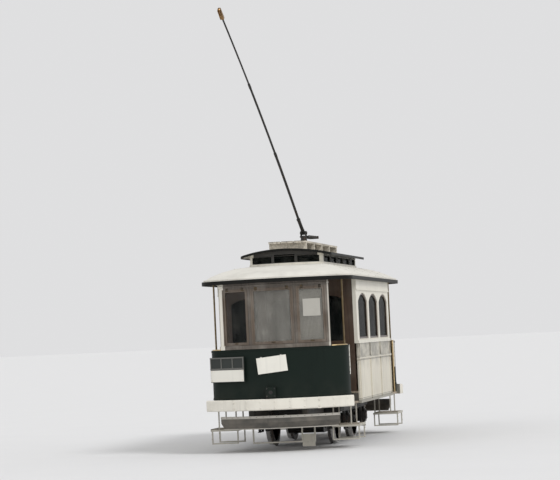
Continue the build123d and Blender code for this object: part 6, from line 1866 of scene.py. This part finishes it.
@dataclass
class StepWork(Assembly):
    """Slats and bolts of the steps, and fittings of the gates."""

    inner: float = 0.78
    outer: float = 1.235
    front: float = -2.62
    back: float = -1.98
    tread: float = 0.38
    slats: int = 5
    slat: float = 0.074
    edge_z: float = 0.372
    gate_y: float = -2.7
    gate_z: float = 0.5

    def steps(self) -> None:
        """Slats, edge irons and bolts of the four steps."""
        slats, irons = Shape(), Shape()
        for index in range(self.slats):
            x = self.inner + 0.012 + index * (self.outer - self.inner - 0.02) / self.slats
            low = (x, self.front + 0.01, self.tread - SINK)
            slats.box(low, (x + self.slat, self.back - 0.01, self.tread + 0.009))
        low = (self.outer - 0.002, self.front, self.edge_z - 0.02)
        irons.box(low, (self.outer + 0.005, self.back, self.edge_z + 0.02))
        for y in (self.front + 0.04, self.back - 0.04):
            for z in (0.22, 0.3):
                irons.bolt((self.outer - 0.005, y, z), RIGHT, 0.008)
            for x in (self.inner + 0.03, 1.1):
                irons.bolt((x, y, self.tread + SINK), UP, 0.011)
        for y in (self.front + 0.1, (self.front + self.back) / 2, self.back - 0.1):
            irons.rivet((self.outer + 0.005, y, self.edge_z), RIGHT, 0.008)
        slats.both_sides().both_ends().piece("step_slats", Look.TREADS, bevel=0.002)
        irons.both_sides().both_ends().piece("step_irons", Look.STEP, smooth=30)

    def gates(self) -> None:
        """Collars, rivets and end nuts of the two gates."""
        gate, y, z = Shape(), self.gate_y, self.gate_z
        for x in (-0.51, 0.3, 0.51):
            gate.lathe((x - 0.02, y, z), RIGHT, [(0, 0.02), (0.04, 0.02)], 16)
        for x, low in product((0.33, 0.405, 0.48), (0.085, 0.142, 0.235)):
            gate.rivet((x, y - 0.005, low), -BACK, 0.007)
        for x in signed(0.523):
            gate.lathe((x, y, z), RIGHT * x, [(-0.002, 0.017), (0.008, 0.017), (0.012, 0.01)], 6)
        gate.twin_pieces("gate_{}_fittings", Look.STEP, "gate_{}", 30)

    def build(self) -> None:
        """Make the pieces of the steps and gates."""
        self.steps()
        self.gates()


@dataclass
class TrolleyWork(Assembly):
    """Wound springs, bolts and ferrules of the trolley."""

    swivel: float = -6.6
    elevation: float = -40.0
    axis_z: float = 3.65
    spring_x: float = 0.0475
    spring_z: float = 3.5878
    spring_radius: float = 0.023
    wire: float = 0.0042
    turns: int = 34
    hooks: tuple[tuple[float, float], ...] = ((0.104, 0.128), (0.612, 0.634))
    winding: tuple[float, float] = (0.136, 0.604)
    foot_z: float = 3.475
    foot_bolts: float = 0.15
    collars: tuple[float, ...] = (0.05, 0.33)
    collar: float = 0.034
    ferrules: tuple[tuple[float, float], ...] = ((1.93, 0.0245), (3.57, 0.0215))
    bow: tuple[float, float, float] = (0.07, 2.75, 2.45)

    @property
    def head(self) -> Matrix:
        """The turning head's place at rest."""
        return Matrix.Rotation(math.radians(self.swivel), 4, "Z")

    @property
    def pole(self) -> Matrix:
        """The pole's place at rest, drawn along -Y from its pin."""
        lift = Matrix.Translation((0, 0, self.axis_z))
        return lift @ self.head @ Matrix.Rotation(math.radians(self.elevation), 4, "X")

    def springs(self) -> None:
        """Two wound springs with hooked ends, in place of the plain ones."""
        wound = Shape()
        start, end = self.winding
        steps = self.turns * 12
        for x in signed(self.spring_x):
            first, last = [[(x, y, self.spring_z) for y in hook] for hook in self.hooks]
            path: list[Point] = list(first)
            for i in range(steps + 1):
                angle = 2 * math.pi * self.turns * i / steps
                reach = self.spring_radius * min(1.0, i / 8, (steps - i) / 8)
                y = start + (end - start) * i / steps
                path.append((x + reach * math.cos(angle), y, self.spring_z + reach * math.sin(angle)))
            wound.tube(path + last, self.wire, 6)
        made = wound.moved(self.head).piece("wound_trolley_springs", Look.SPRING, "trolley_head", smooth=60)
        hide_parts("trolley_springs")

    def foot(self) -> None:
        """Bolts and a ring on the trolley's foot."""
        foot = Shape()
        for across, along in turns(8, math.pi / 8):
            foot.bolt((self.foot_bolts * across, self.foot_bolts * along, self.foot_z), UP, 0.013)
        foot.lathe((0, 0, self.foot_z - 0.0005), UP, [(0, 0.095), (0.0, 0.095), (0.0012, 0.08)], 32)
        foot.piece("trolley_foot_bolts", Look.TROLLEY, smooth=30)

    def nuts(self) -> None:
        """Nuts on the pole's pin and on the springs' tails."""
        head = Shape()
        nut = [(0, 0.021), (0.004, 0.021), (0.004, 0.018), (0.014, 0.018)]
        for side in SIDES:
            head.lathe((side * 0.051, 0, self.axis_z), RIGHT * side, nut, 6)
            tail = (side * self.spring_x, 0.642, self.spring_z)
            head.lathe(tail, BACK, [(0, 0.014), (0.02, 0.014), (0.026, 0.008)], 6)
        head.moved(self.head).piece("trolley_head_nuts", Look.TROLLEY, "trolley_head", smooth=30)

    def pole_rings(self) -> None:
        """Collars at the pole's foot, and ferrules where its lengths join."""
        pole = Shape()
        for along in self.collars:
            pole.lathe((0, -along - 0.012, 0), -BACK, [(0, self.collar), (0.02, self.collar)], 20)
        bend, middle, half = self.bow
        for along, reach in self.ferrules:
            rise = bend * (1 - ((along - middle) / half) ** 2)
            profile = [(0, reach * 0.86), (0.012, reach), (0.1, reach), (0.116, reach * 0.9)]
            pole.lathe((0, -along - 0.05, rise), BACK, profile, 20)
        pole.moved(self.pole).piece("trolley_ferrules", Look.TROLLEY, "pole", smooth=30)

    def build(self) -> None:
        """Make the trolley's pieces."""
        self.springs()
        self.foot()
        self.nuts()
        self.pole_rings()


# Studio


@dataclass
class Studio(Assembly):
    """Pale floor, soft light and the camera at the photo's place."""

    reach: float = 400.0
    tone: float = 0.68
    sky: float = 0.74
    eye: tuple[float, float, float] = (6.85, -38.65, 1.89)
    aim: tuple[float, float, float] = (-0.2, -1.2, 3.5)
    lens: float = 144.0
    roll: float = 2.7

    def floor(self) -> None:
        """A wide pale floor under the wheels."""
        mesh = bpy.data.meshes.new("studio_floor")
        corners = [(x * self.reach, y * self.reach, 0) for x, y in ((-1, -1), (1, -1), (1, 1), (-1, 1))]
        mesh.from_pydata(corners, [], [(0, 1, 2, 3)])
        material = bpy.data.materials.new("studio_floor")
        tree = Tree(material)
        tone = tree.mix(tree.noise(0.8, detail=3.0), (self.tone,) * 3, (self.tone * 1.04,) * 3)
        tree.shade(Base_Color=tone, Roughness=0.9)
        mesh.materials.append(material)
        made = placed("studio_floor", mesh)

    def light(self) -> None:
        """Even sky, a broad sun from the right and a weak fill from the left."""
        world = bpy.data.worlds.new("studio")
        bpy.context.scene.world = world
        world.use_nodes = True
        back = world.node_tree.nodes["Background"]
        back.inputs["Color"].default_value = (self.sky, self.sky, self.sky * 1.01, 1)
        back.inputs["Strength"].default_value = 1.0
        for name, power, spread, turn in (
            ("key", 1.5, 18.0, (48, 0, 52)),
            ("fill", 0.35, 60.0, (62, 0, -40)),
        ):
            sun = bpy.data.lights.new(name, "SUN")
            sun.energy = power
            sun.angle = math.radians(spread)
            made = placed(name, sun)
            made.rotation_euler = [math.radians(part) for part in turn]

    def camera(self) -> None:
        """The camera, rolled as the photo is."""
        lens = bpy.data.cameras.new("camera")
        lens.lens = self.lens
        lens.sensor_width = 36.0
        lens.clip_start = 1.0
        lens.clip_end = 3.0 * self.reach
        made = placed("camera", lens)
        look = Vector(self.aim) - Vector(self.eye)
        turn = look.to_track_quat("-Z", "Y").to_matrix().to_4x4()
        roll = Matrix.Rotation(math.radians(-self.roll), 4, "Z")
        made.matrix_world = Matrix.Translation(self.eye) @ turn @ roll
        bpy.context.scene.camera = made

    def build(self) -> None:
        """Make the studio."""
        self.floor()
        self.light()
        self.camera()
        bpy.context.scene.view_settings.view_transform = "Standard"


def main() -> None:
    """Build the tram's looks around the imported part."""
    logging.basicConfig(level=logging.INFO, format="%(name)s: %(message)s")
    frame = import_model()
    nodes = CarriedNodes(frame["nodes"])
    nodes.dress()
    assemblies: tuple[Assembly, ...] = (
        DashWork(),
        FrontIrons(),
        WindscreenWork(),
        RoofWork(nodes.surface("lower_roof")),
        SideWork(),
        CabWork(),
        Saloon(),
        TruckWork(),
        StepWork(),
        TrolleyWork(),
        Studio(),
    )
    for assembly in assemblies:
        assembly.build()
        LOG.info("%s built", type(assembly).__name__)


if __name__ == "__main__":
    main()
